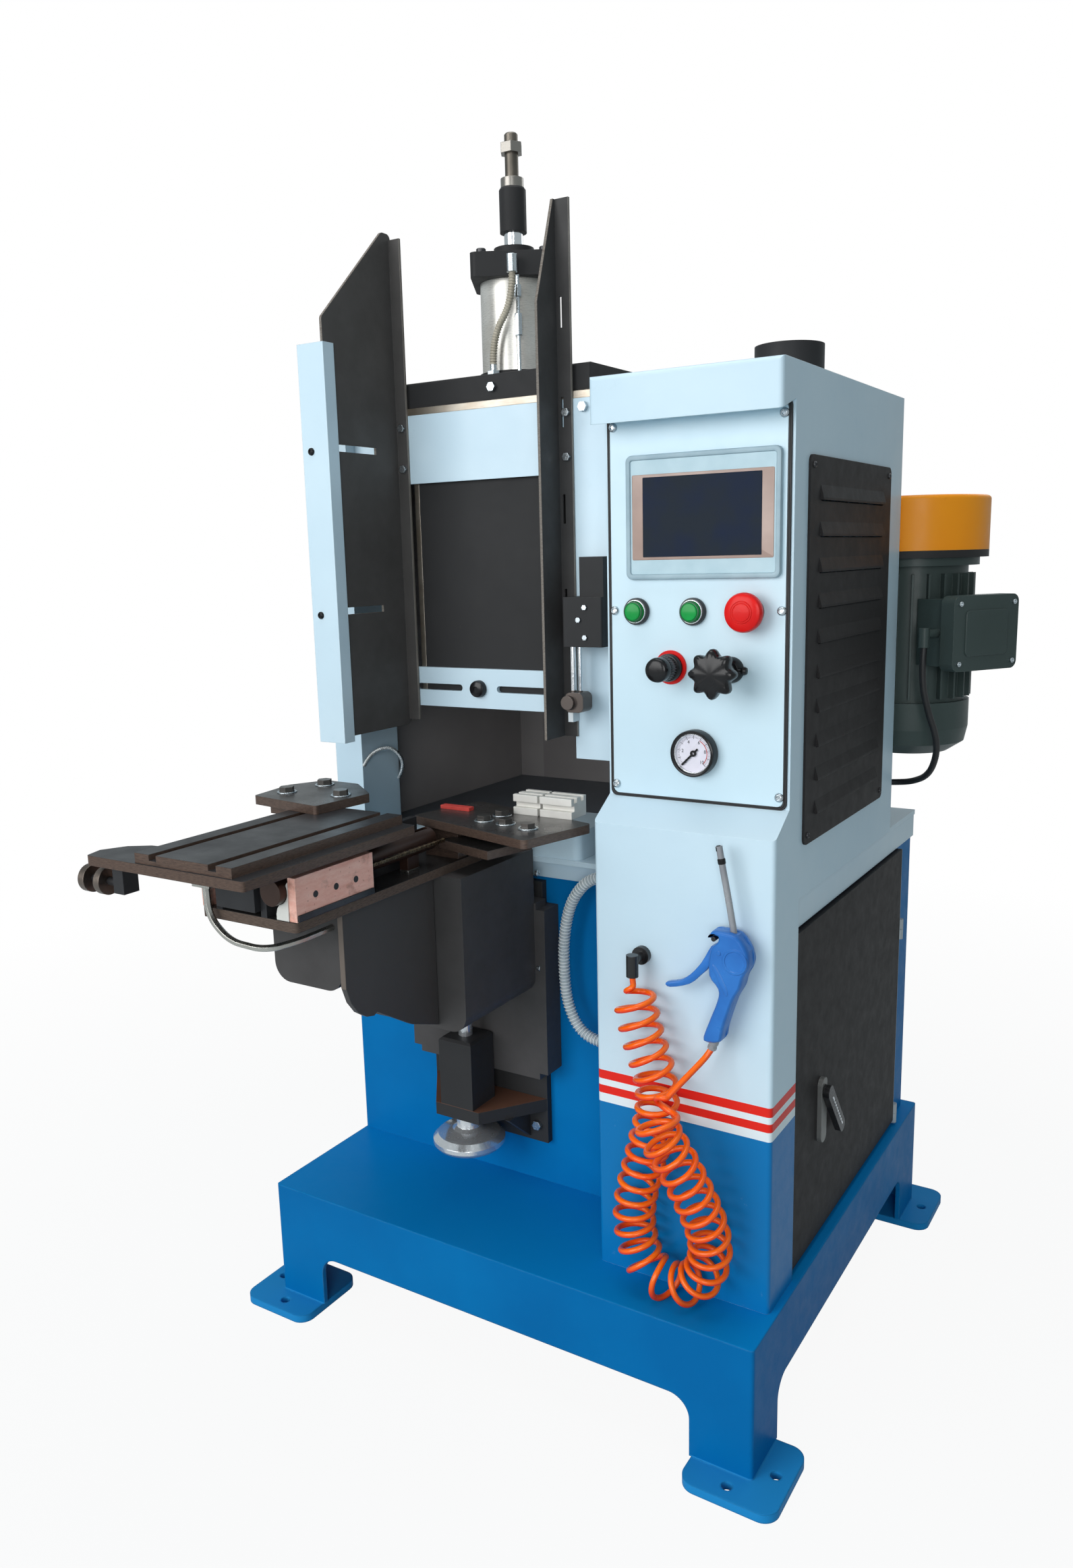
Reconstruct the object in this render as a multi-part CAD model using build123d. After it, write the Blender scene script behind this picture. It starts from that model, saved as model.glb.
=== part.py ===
from build123d import *
import math
import os

os.makedirs("parts", exist_ok=True)

# Millimetres. x runs right from the base's left side, y back from its front face, z up from the floor.

# Base
base_width = 810
base_depth = 775
deck_height = 197
skirt_height = 101
base_sheet = 8
base_edge = 5
leg_width = 88
cutout_round = 30
foot_side = 130
foot_reach = 45
foot_thickness = 12
foot_round = 22
anchor_bore = 15
anchor_inset = 25

# Clearances
touch_gap = 0.5
slide_gap = 0.4
turn_gap = 0.3
rod_fit = 0.05

# Column, cabinet and tray
column_width = 550
column_front = 222
housing_rear = base_depth - 20
column_sheet = 6
column_edge = 5
tray_top = 737
tray_sheet = 8
tray_overhang = 24
tray_lip = 28
lip_sheet = 4
tray_ledge = 6
cabinet_width = 238
cabinet_front = column_front - 58
cabinet_sheet = 3
column_top = tray_top - tray_sheet
cabinet_right = column_width + cabinet_width
gear_plate = 2.5
gear_depth = 120

# Door and its lock
door_thickness = 9.5
door_sheet = 2
door_front = cabinet_front + 2
door_rear = housing_rear - 87
door_bottom = deck_height + 11
door_top = column_top - 41
opening_inset = 14
hinge_out = 7.5
hinge_back = 8
knuckle_radius = 6
pin_radius = 3
knuckle_height = 17
hinge_heights = (door_bottom - 7, door_top - 156)
lock_y = door_front + 105
lock_z = door_bottom + 194
lock_height = 96
lock_width = 22
lock_thickness = 7
lever_pivot_z = lock_z + 28
lever_length = 92
lever_swing = 37.6
lever_width = 20
lever_thickness = 9

# Control pillar
pillar_width = 250
pillar_left = column_width
pillar_right = pillar_left + pillar_width
pillar_front = cabinet_front - 87
panel_plane = pillar_front + 47
visor_front = pillar_front + 4
visor_bottom = 1331
visor_rise = 14
sill_height = 831
sill_rise = 30
pillar_rear = cabinet_front + 417
pillar_top = visor_bottom + 57
pillar_sheet = 3
pillar_edge = 6
panel_sheet = 3
panel_margin = 8
panel_window = 26
louvre_front = cabinet_front + 6
louvre_rear = pillar_rear - 66
louvre_bottom = 805
louvre_top = pillar_top - 102
louvre_sheet = 3
louvre_count = 10
louvre_length = 270
louvre_rise = 18
louvre_depth = 4
louvre_round = 10
cap_x = pillar_right - 92
cap_y = pillar_rear - 231
cap_radius = 46
cap_height = 53
cap_wall = 4

# Panel fittings
screen_left = pillar_left + 33
screen_width = 204
screen_bottom = visor_bottom - 189
screen_height = 152
screen_thickness = 8
glass_margin_x = 16
glass_margin_z = 28
button_z = visor_bottom - 229
start_x = pillar_left + 45
cycle_x = pillar_left + 123
estop_x = pillar_left + 198
button_radius = 13
button_ring = 17
button_stem = 10
button_tail = 20
button_travel = 4
estop_radius = 24
regulator_x = pillar_left + 92
regulator_z = button_z - 70
regulator_radius = 16
regulator_ribs = 16
star_x = pillar_left + 174
star_z = button_z - 71
star_radius = 30
star_lobes = 7
star_reach = 58
star_thickness = 20
gauge_x = pillar_left + 127
gauge_z = button_z - 177
gauge_radius = 30
gauge_depth = 16
gauge_pin = 1.5
panel_screw = 4.5
screw_head = 3
screw_inset = 12

# Head frame
head_sheet = 5
head_top = 1385
head_gap = 0.5
head_right = column_width - head_gap
work_x = 278
upright_width = 55
upright_front = column_front - 22
upright_depth = 92
upright_wall = 4
opening_right = work_x + 164
panel_lower_edge = head_top - 99
right_wall_bottom = tray_top + 148
jamb_depth = 70
plate_thickness = 10

# Ram, its ways and cylinder
ram_y = column_front + 124
ram_width = 216
ram_face = 8.5
ram_face_y = column_front + 8.5
ram_depth = 180
ram_top = head_top - 33
ram_height = 342
ram_apron = 55
ram_head = 14
way_width = 9
way_depth = 34
band_offset = -4
band_width = 256
band_thickness = 7.5
band_height = 60
band_slot = 88
band_slot_height = 10
band_slot_reach = 75.5
band_hole = 22
beam_left = work_x - 193
beam_right = work_x + 192
beam_front = column_front + 6
beam_depth = 236
beam_height = 37
beam_wall = 8
rod_radius = 14
tube_radius = 52
tube_bore = 48
tube_length = 129
flange_radius = 56
flange_height = 14
cap_side = 124
cap_thickness = 34
cap_turn = 30
cap_round = 10
gland_radius = 30
gland_height = 16
ram_stroke = 22
piston_height = 25
piston_lift = 89
sleeve_radius = 20
sleeve_length = 62
stud_radius = 10
stud_length = 75

# Guards
guard_sheet = 4
left_guard_x = work_x - 140
left_guard_front = column_front - 159
left_guard_bottom = 920
guard_top = head_top + 256
guard_shoulder = head_top + 120
guard_slope = 20
left_flange = 23
slot_length = 98
slot_height = 10
slot_inset = 6
slot_levels = (head_top - 282, head_top - 53)
strip_width = 48
strip_sheet = 3.5
strip_return = 22
strip_bottom = left_guard_bottom - 8
strip_top = guard_shoulder - 33
right_guard_x = work_x + 144
right_guard_front = column_front - 54
right_guard_bottom = 918
right_flange = 25

# Pusher on the right wall
pusher_left = opening_right + 8
pusher_width = 62
pusher_depth = 46
pusher_bottom = 1050
pusher_height = 68
pusher_upper = 54
pusher_rod = 4.5
pusher_guide = 3
pusher_drop = 64
crosshead_height = 28
crosshead_width = 29

# Spindle and motor drive
spindle_y = column_front + 378
spindle_radius = 20
spindle_seat = 26
housing_radius = 62
housing_bottom = 965
housing_height = 180
web_width = 120
cutter_radius = 60
cutter_height = 60
cutter_drop = 80
motor_x = pillar_right - 10
motor_y = pillar_rear + 119
motor_radius = 84
fin_height = 11
fin_thickness = 3
fin_count = 24
fan_height = 83
motor_length = 305
box_turn = 32
box_reach = 130
box_width = 112
box_height = 100
lid_depth = 26
lid_margin = 9
lid_round = 12
gland_at = 115
gland_reach = 26
gland_barrel = 8
bracket_z = housing_bottom + housing_height + 12
bracket_thickness = 11
guard_radius = 113
guard_height = 82
belt_guard_left = head_right + 2.5
belt_guard_front = pillar_rear + 4
belt_guard_rear = housing_rear - 13
guard_wall = 3
pulley_width = 50
motor_pulley = 60
spindle_pulley = 55
belt_thickness = 6
belt_inset = 4
rotor_radius = 14

# Knee, screw and handwheel
way_plate_width = 214
way_plate_depth = 12
way_plate_bottom = deck_height + 73
way_plate_top = column_top - tray_lip - 6
shelf_z = way_plate_bottom + 55
shelf_thickness = 20
screw_y = column_front - 74
screw_radius = 11
block_side = 60
block_height = 109
wheel_radius = 56.5
wheel_drop = 51
knee_width = 220
knee_depth = 182
knee_rear = column_front - 40
knee_bottom = 530
knee_top = tray_top + 15
knee_wall = 10
knee_floor = 15
knee_round = 25
nose_width = 114
nose_reach = 185
nose_drop = 109
saddle_bottom = shelf_z + 65
saddle_top = way_plate_top - 25
saddle_lip = 3
gib_width = 20
gib_inset = 10
nut_side = 50
nut_height = 40
screw_top = knee_top - 52

# Table
bed_width = 156
bed_thickness = 13
bed_round = 6
bed_reach = 280
knee_front = knee_rear - knee_depth
bed_front = knee_front - bed_reach
bed_rear = knee_rear + 8
bed_top = knee_top + bed_thickness
rail_offset = -10
strip_inner = 64
strip_thickness = 9.6
strip_rear = knee_front + 10
table_bottom = bed_top + 64
table_plate = 12
table_front = bed_front - 95
table_length = 300
table_right = work_x + 97
table_gap = 0.3
rail_front = table_front + 86
rail_length = 70
rail_bottom = bed_top + 7
block_thickness = 11.5
block_front = bed_front + 2
block_length = 138
block_top = table_bottom - 11
barrel_x = work_x + 49.5
barrel_z = table_bottom - 29
barrel_radius = 16
barrel_wall = 4
barrel_front = bed_front - 10
barrel_slot = 9
barrel_foot = 14
arm_tip = work_x - 168
roller_radius = 17
roller_width = 10
roller_y = table_front + 23
roller_z = table_bottom - 24
roller_pin = 5
groove_width = 12
groove_depth = 7
groove_inset = 30
fixture_plate = 12
fixture_z = table_bottom - 19
bolt_head = 8
bolt_flats = 18
stop_length = 94
stop_depth = 40
stop_height = 28
stop_groove = 8

# Hoses and gun
coil_radius = 26
coil_tube = 8
coil_pitch = 23
coil_gap = 12
coil_grow = 24
clear_radius = 9
clear_bore = 6.4
clear_y = column_front - 37
clear_ends = (column_top - 2, column_top - 259)
collar_length = 10
rib_pitch = 14
rib_depth = 1.6
hose_radius = 5.5
hose_bore = 3.3
hose_pitch = 12
hose_rib = 1.1
cable_radius = 5
pipe_radius = 4.5
gun_x = pillar_right - 66
gun_y = pillar_front - 25
gun_z = sill_height - 255
gun_lean = 18
gun_thickness = 28
gun_nipple = 14
nozzle_radius = 4
trigger_slot = 11
trigger_pin = 2.5
peg_radius = 3
port_x = pillar_left + 71
port_y = pillar_front - 30
port_z = sill_height - 170
elbow_drop = 21

panel_front = panel_plane - panel_sheet
beam_bottom = head_top + plate_thickness
beam_top = beam_bottom + beam_height
tube_bottom = beam_top + flange_height
tube_top = tube_bottom + tube_length
cap_top = tube_top + cap_thickness
gland_top = cap_top + gland_height
sleeve_bottom = gland_top + ram_stroke
sleeve_top = sleeve_bottom + sleeve_length
ram_left = work_x - ram_width / 2
ram_right = work_x + ram_width / 2
ram_box_bottom = ram_top - ram_height
ram_bottom = ram_box_bottom - ram_apron
way_bottom = ram_bottom - 2
band_bottom = ram_bottom - 5
bracket_top = bracket_z + bracket_thickness
pulley_z = bracket_top + 17
motor_bottom = bracket_z - motor_length
belt_slot_bottom = bracket_z + guard_wall
belt_slot_top = pulley_z + pulley_width + 27
cutter_bottom = housing_bottom - cutter_drop
hinge_x = cabinet_right + hinge_out
hinge_y = door_rear + hinge_back
table_mid = table_bottom + table_plate
table_top_z = table_mid + table_plate
table_rear = table_front + table_length
knee_left = work_x - knee_width / 2
nose_left = work_x - nose_width / 2
nose_front = knee_front - nose_reach
nose_bottom = knee_top - nose_drop
bed_left = work_x - bed_width / 2
way_left = work_x - way_plate_width / 2
wheel_bottom = shelf_z - wheel_drop
rail_rear = rail_front + rail_length
rail_left = work_x + rail_offset - strip_inner / 2
block_rear = block_front + block_length
shift = Pos(-base_width / 2, -base_depth / 2, 0)


def block(x0, x1, y0, y1, z0, z1):
    return Pos((x0 + x1) / 2, (y0 + y1) / 2, (z0 + z1) / 2) * Box(x1 - x0, y1 - y0, z1 - z0)


def outline(points, radius=0):
    face = make_face(Polyline(*points, close=True))
    if radius:
        face = fillet(face.vertices(), radius)
    return face


def plan(face, z0, z1):
    return extrude(Plane.XY.offset(z0) * face, amount=z1 - z0)


def front_cut(face, y0, y1):
    return extrude(Plane((0, y1, 0), x_dir=(1, 0, 0), z_dir=(0, -1, 0)) * face, amount=y1 - y0)


def side_cut(face, x0, x1):
    return extrude(Plane((x0, 0, 0), x_dir=(0, 1, 0), z_dir=(1, 0, 0)) * face, amount=x1 - x0)


def rod_z(x, y, z0, z1, radius):
    return Pos(x, y, (z0 + z1) / 2) * Cylinder(radius, z1 - z0)


def rod_y(x, z, y0, y1, radius):
    return Pos(x, (y0 + y1) / 2, z) * Rot(90, 0, 0) * Cylinder(radius, y1 - y0)


def rod_x(y, z, x0, x1, radius):
    return Pos((x0 + x1) / 2, y, z) * Rot(0, 90, 0) * Cylinder(radius, x1 - x0)


def turned(profile, place):
    return place * revolve(make_face(Plane.XZ * Polyline(*profile, close=True)), Axis.Z)


def hexagon(x, y, z0, z1, flats):
    return plan(Pos(x, y) * RegularPolygon(flats / math.sqrt(3), 6), z0, z1)


def hex_y(x, z, y0, y1, radius):
    return front_cut(Pos(x, z) * RegularPolygon(radius, 6), y0, y1)


def hex_x(y, z, x0, x1, radius):
    return side_cut(Pos(y, z) * RegularPolygon(radius, 6), x0, x1)


def save(name, *shapes):
    solids = []
    for shape in shapes:
        solids.extend((shift * shape).solids())
    export_step(Compound(children=solids) if len(solids) > 1 else solids[0], f"parts/{name}.step")


# Base
skirt_bottom = deck_height - skirt_height
shell = block(0, base_width, 0, base_depth, foot_thickness, deck_height)
shell = fillet(shell.edges().filter_by(Axis.Z), base_edge)
shell -= block(base_sheet, base_width - base_sheet, base_sheet, base_depth - base_sheet,
               0, deck_height - base_sheet)
for span, cut in ((base_width, front_cut), (base_depth, side_cut)):
    hole = Pos(span / 2, 0) * RectangleRounded(span - 2 * leg_width, 2 * skirt_bottom, cutout_round)
    shell -= cut(hole, -1, max(base_width, base_depth) + 1)
for sx in (-1, 1):
    for sy in (-1, 1):
        corner_x = base_width / 2 + sx * base_width / 2
        corner_y = base_depth / 2 + sy * base_depth / 2
        inward = foot_side / 2 - foot_reach
        foot = Pos(corner_x - sx * inward, corner_y - sy * inward) * RectangleRounded(
            foot_side, foot_side, foot_round)
        foot -= Pos(corner_x + sx * foot_reach / 2, corner_y - sy * anchor_inset) * Circle(anchor_bore / 2)
        foot -= Pos(corner_x - sx * anchor_inset, corner_y + sy * foot_reach / 2) * Circle(anchor_bore / 2)
        shell += plan(foot, 0, foot_thickness)
save("base_frame", shell)

# Column
column = block(0, column_width, column_front, housing_rear, deck_height, column_top)
column = fillet(column.edges().filter_by(Axis.Z), column_edge)
column -= block(column_sheet, column_width - column_sheet, column_front + column_sheet,
                housing_rear - column_sheet, deck_height - 1, column_top + 1)
save("column", column)

# Cabinet with the fixed half of each hinge
cabinet = block(column_width, cabinet_right, cabinet_front, housing_rear, deck_height, column_top)
cabinet -= block(column_width + cabinet_sheet, cabinet_right - cabinet_sheet, cabinet_front + cabinet_sheet,
                 housing_rear - cabinet_sheet, deck_height + cabinet_sheet, column_top - cabinet_sheet)
cabinet -= block(cabinet_right - 2 * cabinet_sheet, cabinet_right + 1, door_front + opening_inset,
                 door_rear - opening_inset, door_bottom + opening_inset, door_top - opening_inset)
for z in hinge_heights:
    cabinet += block(cabinet_right - cabinet_sheet, hinge_x, hinge_y - pin_radius / 2,
                     hinge_y + knuckle_radius,
                     z, z + knuckle_height)
    cabinet += rod_z(hinge_x, hinge_y, z, z + knuckle_height, knuckle_radius)
    cabinet += rod_z(hinge_x, hinge_y, z + knuckle_height, z + 2 * knuckle_height, pin_radius)
save("cabinet_shell", cabinet)

# Control gear on its plate
gear_x = column_width + cabinet_sheet
plate_y = cabinet_front + 40
gear_face = gear_x + gear_plate
gear = [block(gear_x, gear_face, plate_y, plate_y + 430, deck_height + 45, column_top - 70)]
drive = block(gear_face, gear_face + gear_depth, plate_y + 30, plate_y + 170, deck_height + 250,
              deck_height + 430)
drive -= block(gear_face + gear_depth - 8, gear_face + gear_depth + 1, plate_y + 55, plate_y + 145,
               deck_height + 350, deck_height + 410)
gear.append(drive)
for i in range(4):
    relay_y = plate_y + 210 + 50 * i
    relay = block(gear_face, gear_face + gear_depth / 2, relay_y, relay_y + 44, deck_height + 280,
                  deck_height + 365)
    relay += block(gear_face, gear_face + gear_depth / 1.6, relay_y + 8, relay_y + 36,
                   deck_height + 300, deck_height + 345)
    gear.append(relay)
gear.append(block(gear_face, gear_face + gear_depth / 3, plate_y + 30, plate_y + 400,
                  deck_height + 110, deck_height + 160))
save("control_gear", *gear)

# Tray over column and cabinet
tray_front = column_front - tray_overhang
tray_right = cabinet_right + tray_ledge
tray = plan(outline([(0, tray_front), (column_width, tray_front), (column_width, cabinet_front + touch_gap),
                     (tray_right, cabinet_front + touch_gap), (tray_right, housing_rear),
                     (0, housing_rear)]),
            column_top, tray_top)
tray += block(0, column_width - touch_gap, column_front - touch_gap - lip_sheet, column_front - touch_gap,
              column_top - tray_lip, column_top)
tray += block(cabinet_right + touch_gap, cabinet_right + touch_gap + lip_sheet,
              cabinet_front + 2 * touch_gap,
              housing_rear, door_top + lip_sheet, column_top)
save("tray", tray)

# Control pillar
profile = outline([(pillar_front, deck_height), (cabinet_front, deck_height), (cabinet_front, tray_top),
                   (pillar_rear, tray_top), (pillar_rear, pillar_top), (visor_front, pillar_top),
                   (visor_front, visor_bottom), (panel_plane, visor_bottom + visor_rise),
                   (panel_plane, sill_height + sill_rise), (pillar_front, sill_height)])
pillar = side_cut(profile, pillar_left, pillar_right)
sharp = [e for e in pillar.edges().filter_by(Axis.Z) if e.center().Y < panel_plane - 1]
sharp += pillar.edges().filter_by(Axis.X).group_by(Axis.Z)[-1].sort_by(Axis.Y)[:1]
pillar = fillet(sharp, pillar_edge)
pillar -= side_cut(offset(profile, -pillar_sheet, kind=Kind.INTERSECTION), pillar_left + pillar_sheet,
                   pillar_right - pillar_sheet)
pillar -= block(pillar_left + panel_window, pillar_right - panel_window, panel_plane - 1,
                panel_plane + 2 * pillar_sheet, sill_height + sill_rise + panel_window,
                visor_bottom + visor_rise - panel_window)
pillar -= block(pillar_right - 2 * pillar_sheet, pillar_right + 1, louvre_front + panel_window,
                louvre_rear - panel_window, louvre_bottom + panel_window, louvre_top - panel_window)
pillar -= rod_z(cap_x, cap_y, pillar_top - 2 * pillar_sheet, pillar_top + 1, cap_radius - 2 * cap_wall)
save("pillar_shell", pillar)

# Control panel
panel_bottom = sill_height + sill_rise + panel_sheet
panel_top = visor_bottom + visor_rise - panel_sheet
panel_mid_x = (pillar_left + pillar_right) / 2
face = Pos(panel_mid_x, (panel_bottom + panel_top) / 2) * RectangleRounded(
    pillar_width - 2 * panel_margin, panel_top - panel_bottom, panel_margin)
for x, z, radius in ((start_x, button_z, button_stem), (cycle_x, button_z, button_stem),
                     (estop_x, button_z, button_stem), (regulator_x, regulator_z, button_stem),
                     (star_x, star_z, button_stem)):
    face -= Pos(x, z) * Circle(radius + turn_gap)
save("control_panel", front_cut(face, panel_front, panel_plane))

# Screws and button rings
hardware = []
screw_side = pillar_width / 2 - panel_margin - panel_screw
vent_face = pillar_right + louvre_sheet
for sx in (-1, 1):
    for z in (panel_bottom + screw_inset, (panel_bottom + panel_top) / 2, panel_top - screw_inset):
        hardware.append(hex_y(panel_mid_x + sx * screw_side, z, panel_front - screw_head, panel_front,
                              panel_screw))
for y in (louvre_front + screw_inset, louvre_rear - screw_inset):
    for z in (louvre_bottom + screw_inset, louvre_top - screw_inset):
        hardware.append(hex_x(y, z, vent_face, vent_face + screw_head, panel_screw))
for x in (start_x, cycle_x):
    ring = rod_y(x, button_z, panel_front - 2 * button_travel, panel_front, button_ring)
    hardware.append(ring - rod_y(x, button_z, panel_front - 9 * button_travel, panel_front + 1,
                                 button_radius + turn_gap))
save("panel_hardware", *hardware)

# Touch screen
screen_front = panel_front - screen_thickness
screen_face = Pos(screen_left + screen_width / 2, screen_bottom + screen_height / 2)
bezel = front_cut(screen_face * RectangleRounded(screen_width, screen_height, panel_margin), screen_front,
                  panel_front)
glass = screen_face * Rectangle(screen_width - 2 * glass_margin_x, screen_height - 2 * glass_margin_z)
bezel -= front_cut(glass, screen_front - 1, screen_front + screen_thickness / 2)
save("hmi", bezel, front_cut(glass, screen_front + 1, screen_front + screen_thickness / 2))

# Louvred vent plate
louvre_mid = (louvre_front + louvre_rear) / 2
louvre = side_cut(Pos(louvre_mid, (louvre_bottom + louvre_top) / 2) * RectangleRounded(
    louvre_rear - louvre_front, louvre_top - louvre_bottom, louvre_round), pillar_right,
    pillar_right + louvre_sheet)
step = (louvre_top - louvre_bottom) / (louvre_count + 1)
skin = pillar_right + louvre_sheet
for i in range(louvre_count):
    z = louvre_bottom + step * (i + 0.8)
    y0 = louvre_mid - louvre_length / 2
    y1 = louvre_mid + louvre_length / 2
    hood = front_cut(outline([(skin - 1, z), (skin + louvre_depth, z), (skin + louvre_depth, z + 3),
                              (skin, z + louvre_rise), (skin - 1, z + louvre_rise)]), y0, y1)
    gap = front_cut(outline([(pillar_right - 1, z - 1), (skin + louvre_depth - 2, z - 1),
                             (skin + louvre_depth - 2, z + 2), (pillar_right - 1, z + louvre_rise - 6)]),
                    y0 + 2, y1 - 2)
    louvre = louvre + hood - gap
save("louvre_plate", louvre)

# Round cap on the pillar
save("duct_cap", turned([(cap_radius - cap_wall, 0), (cap_radius + cap_wall, 0),
                         (cap_radius + cap_wall, cap_wall),
                         (cap_radius, cap_wall), (cap_radius, cap_height), (0, cap_height - cap_wall),
                         (0, cap_height - 2 * cap_wall),
                         (cap_radius - cap_wall, cap_height - 2 * cap_wall)],
                        Pos(cap_x, cap_y, pillar_top)))

# Head frame
head = block(0, head_right, column_front, housing_rear, tray_top, head_top)
head -= block(head_sheet, head_right - head_sheet, column_front + head_sheet, housing_rear - head_sheet,
              tray_top - 1, head_top + 1)
head -= block(upright_width / 2, opening_right, column_front - 1, column_front + 2 * head_sheet,
              tray_top - 1, panel_lower_edge)
head -= block(opening_right - 1, head_right - head_sheet, column_front - 1, column_front + 2 * head_sheet,
              tray_top - 1, right_wall_bottom)
head += block(opening_right, opening_right + head_sheet, column_front, column_front + jamb_depth,
              right_wall_bottom, head_top)
head -= block(head_right - 2 * head_sheet, head_right + 1, pillar_rear - 6, housing_rear - head_sheet,
              belt_slot_bottom, belt_slot_top)
upright_rear = upright_front + upright_depth
head += block(0, upright_width, upright_front, upright_rear, tray_top, head_top)
head -= block(upright_wall, upright_width - upright_wall, upright_front + upright_wall,
              upright_rear - upright_wall,
              tray_top - 1, head_top + 1)
save("head_shell", head)

# Top plate and ram ways
top_plate = block(0, head_right, column_front, housing_rear, head_top, beam_bottom)
top_plate -= rod_z(work_x, ram_y, head_top - 1, beam_bottom + 1, sleeve_radius)
way_y = ram_face_y + touch_gap
ways = [block(ram_left - slide_gap - way_width, ram_left - slide_gap, way_y, way_y + way_depth, way_bottom,
              head_top),
        block(ram_right + slide_gap, ram_right + slide_gap + way_width, way_y, way_y + way_depth,
              way_bottom, head_top)]
save("top_plate", top_plate, *ways)

# Cylinder beam
beam = block(beam_left, beam_right, beam_front, beam_front + beam_depth, beam_bottom, beam_top)
beam -= block(beam_left + beam_wall, beam_right - beam_wall, beam_front + beam_wall,
              beam_front + beam_depth - beam_wall,
              beam_bottom - 1, beam_top - beam_wall)
beam = fillet(beam.edges().filter_by(Axis.X).group_by(Axis.Z)[-1], beam_wall / 2)
beam -= rod_z(work_x, ram_y, beam_bottom, beam_top + 1, sleeve_radius)
save("top_beam", beam)

# Left guard and its angle strip
side = outline([(left_guard_front, left_guard_bottom), (column_front, left_guard_bottom),
                (column_front, guard_top),
                (column_front - guard_slope, guard_top), (left_guard_front, guard_shoulder)],
                guard_sheet * 2)
left_edge = left_guard_x + guard_sheet
guard = side_cut(side, left_guard_x, left_edge)
for z in slot_levels:
    guard -= block(left_guard_x - 1, left_edge + 1, left_guard_front + slot_inset,
                   left_guard_front + slot_inset + slot_length,
                   z - slot_height / 2, z + slot_height / 2)
guard += block(left_guard_x, left_guard_x + left_flange, column_front - guard_sheet, column_front,
               left_guard_bottom + 2 * guard_sheet, guard_top - 2 * guard_sheet)
save("left_guard", guard)
strip_right = left_edge + strip_sheet
strip_front = left_guard_front - strip_sheet - touch_gap
strip = outline([(strip_right - strip_width, strip_front), (strip_right, strip_front),
                 (strip_right, strip_front + strip_return), (left_edge, strip_front + strip_return),
                 (left_edge, strip_front + strip_sheet),
                 (strip_right - strip_width, strip_front + strip_sheet)])
strip = plan(strip, strip_bottom, strip_top)
for z in slot_levels:
    strip -= rod_y(strip_right - strip_width + 16, z - slot_height / 2, strip_front - 1,
                   strip_front + strip_sheet + 1, 5)
save("fence_strip", strip)

# Right guard
side = outline([(right_guard_front, right_guard_bottom), (column_front, right_guard_bottom),
                (column_front, guard_top), (column_front - guard_sheet * 2, guard_top),
                (right_guard_front, guard_shoulder)])
guard = side_cut(side, right_guard_x, right_guard_x + guard_sheet)
guard += block(right_guard_x, right_guard_x + right_flange, column_front - guard_sheet, column_front,
               right_guard_bottom, guard_top)
for i in range(4):
    z = right_guard_bottom + 170 + 130 * i
    guard -= block(right_guard_x + 2 * guard_sheet, right_guard_x + 3 * guard_sheet,
                   column_front - 2 * guard_sheet, column_front + 1, z, z + 40)
save("right_guard", guard)

# Ram cylinder
place = Pos(work_x, ram_y, 0)
save("cylinder_tube", turned([(tube_bore, tube_bottom), (tube_radius, tube_bottom), (tube_radius, tube_top),
                              (tube_bore, tube_top)], place))
foot_cap = turned([(rod_radius + rod_fit, beam_top), (flange_radius, beam_top),
                   (flange_radius, tube_bottom),
                   (rod_radius + rod_fit, tube_bottom)], place)
head_cap = plan(Pos(work_x, ram_y) * Rot(0, 0, cap_turn) * RectangleRounded(cap_side, cap_side, cap_round),
                tube_top, cap_top)
head_cap += rod_z(work_x, ram_y, cap_top, gland_top, gland_radius)
head_cap -= rod_z(work_x, ram_y, tube_top - 1, gland_top + 1, rod_radius + rod_fit)
save("cylinder_caps", foot_cap, head_cap)

# Ram
piston_z = tube_bottom + piston_lift
piston = tube_bore - rod_fit
rod = turned([(0, ram_top), (rod_radius + 11, ram_top), (rod_radius + 11, ram_top + 12),
              (rod_radius, ram_top + 12),
              (rod_radius, piston_z), (piston, piston_z), (piston, piston_z + piston_height),
              (rod_radius, piston_z + piston_height), (rod_radius, sleeve_top), (stud_radius, sleeve_top),
              (stud_radius, sleeve_top + stud_length - 2), (stud_radius - 2, sleeve_top + stud_length),
              (0, sleeve_top + stud_length)], place)
save("ram_rod", rod)
sleeve = turned([(rod_radius + rod_fit, sleeve_bottom), (sleeve_radius, sleeve_bottom),
                 (sleeve_radius, sleeve_top - 3), (sleeve_radius - 2, sleeve_top),
                 (rod_radius + rod_fit, sleeve_top)], place)
collar = turned([(stud_radius + rod_fit, sleeve_top), (stud_radius + 7, sleeve_top),
                 (stud_radius + 7, sleeve_top + 13),
                 (stud_radius + rod_fit, sleeve_top + 13)], place)
nut_z = sleeve_top + stud_length - 28
nut = hexagon(work_x, ram_y, nut_z, nut_z + 14, 3 * stud_radius)
nut -= rod_z(work_x, ram_y, nut_z - 1, nut_z + 15, stud_radius + rod_fit)
save("stop_sleeve", sleeve, collar, nut)
carriage = block(ram_left, ram_right, ram_face_y, ram_face_y + ram_depth, ram_box_bottom, ram_top)
carriage -= block(ram_left + ram_face, ram_right - ram_face, ram_face_y + ram_face,
                  ram_face_y + ram_depth + 1,
                  ram_box_bottom - 1, ram_top - ram_head)
carriage += block(ram_left, ram_right, ram_face_y, ram_face_y + ram_face, ram_bottom, ram_box_bottom)
save("ram_carriage", carriage)
band_mid = Pos(work_x + band_offset, band_bottom + band_height / 2)
face = band_mid * Rectangle(band_width, band_height)
for sx in (-1, 1):
    face -= band_mid * Pos(sx * band_slot_reach, 0) * SlotOverall(band_slot, band_slot_height)
face -= band_mid * Circle(band_hole / 2)
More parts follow.
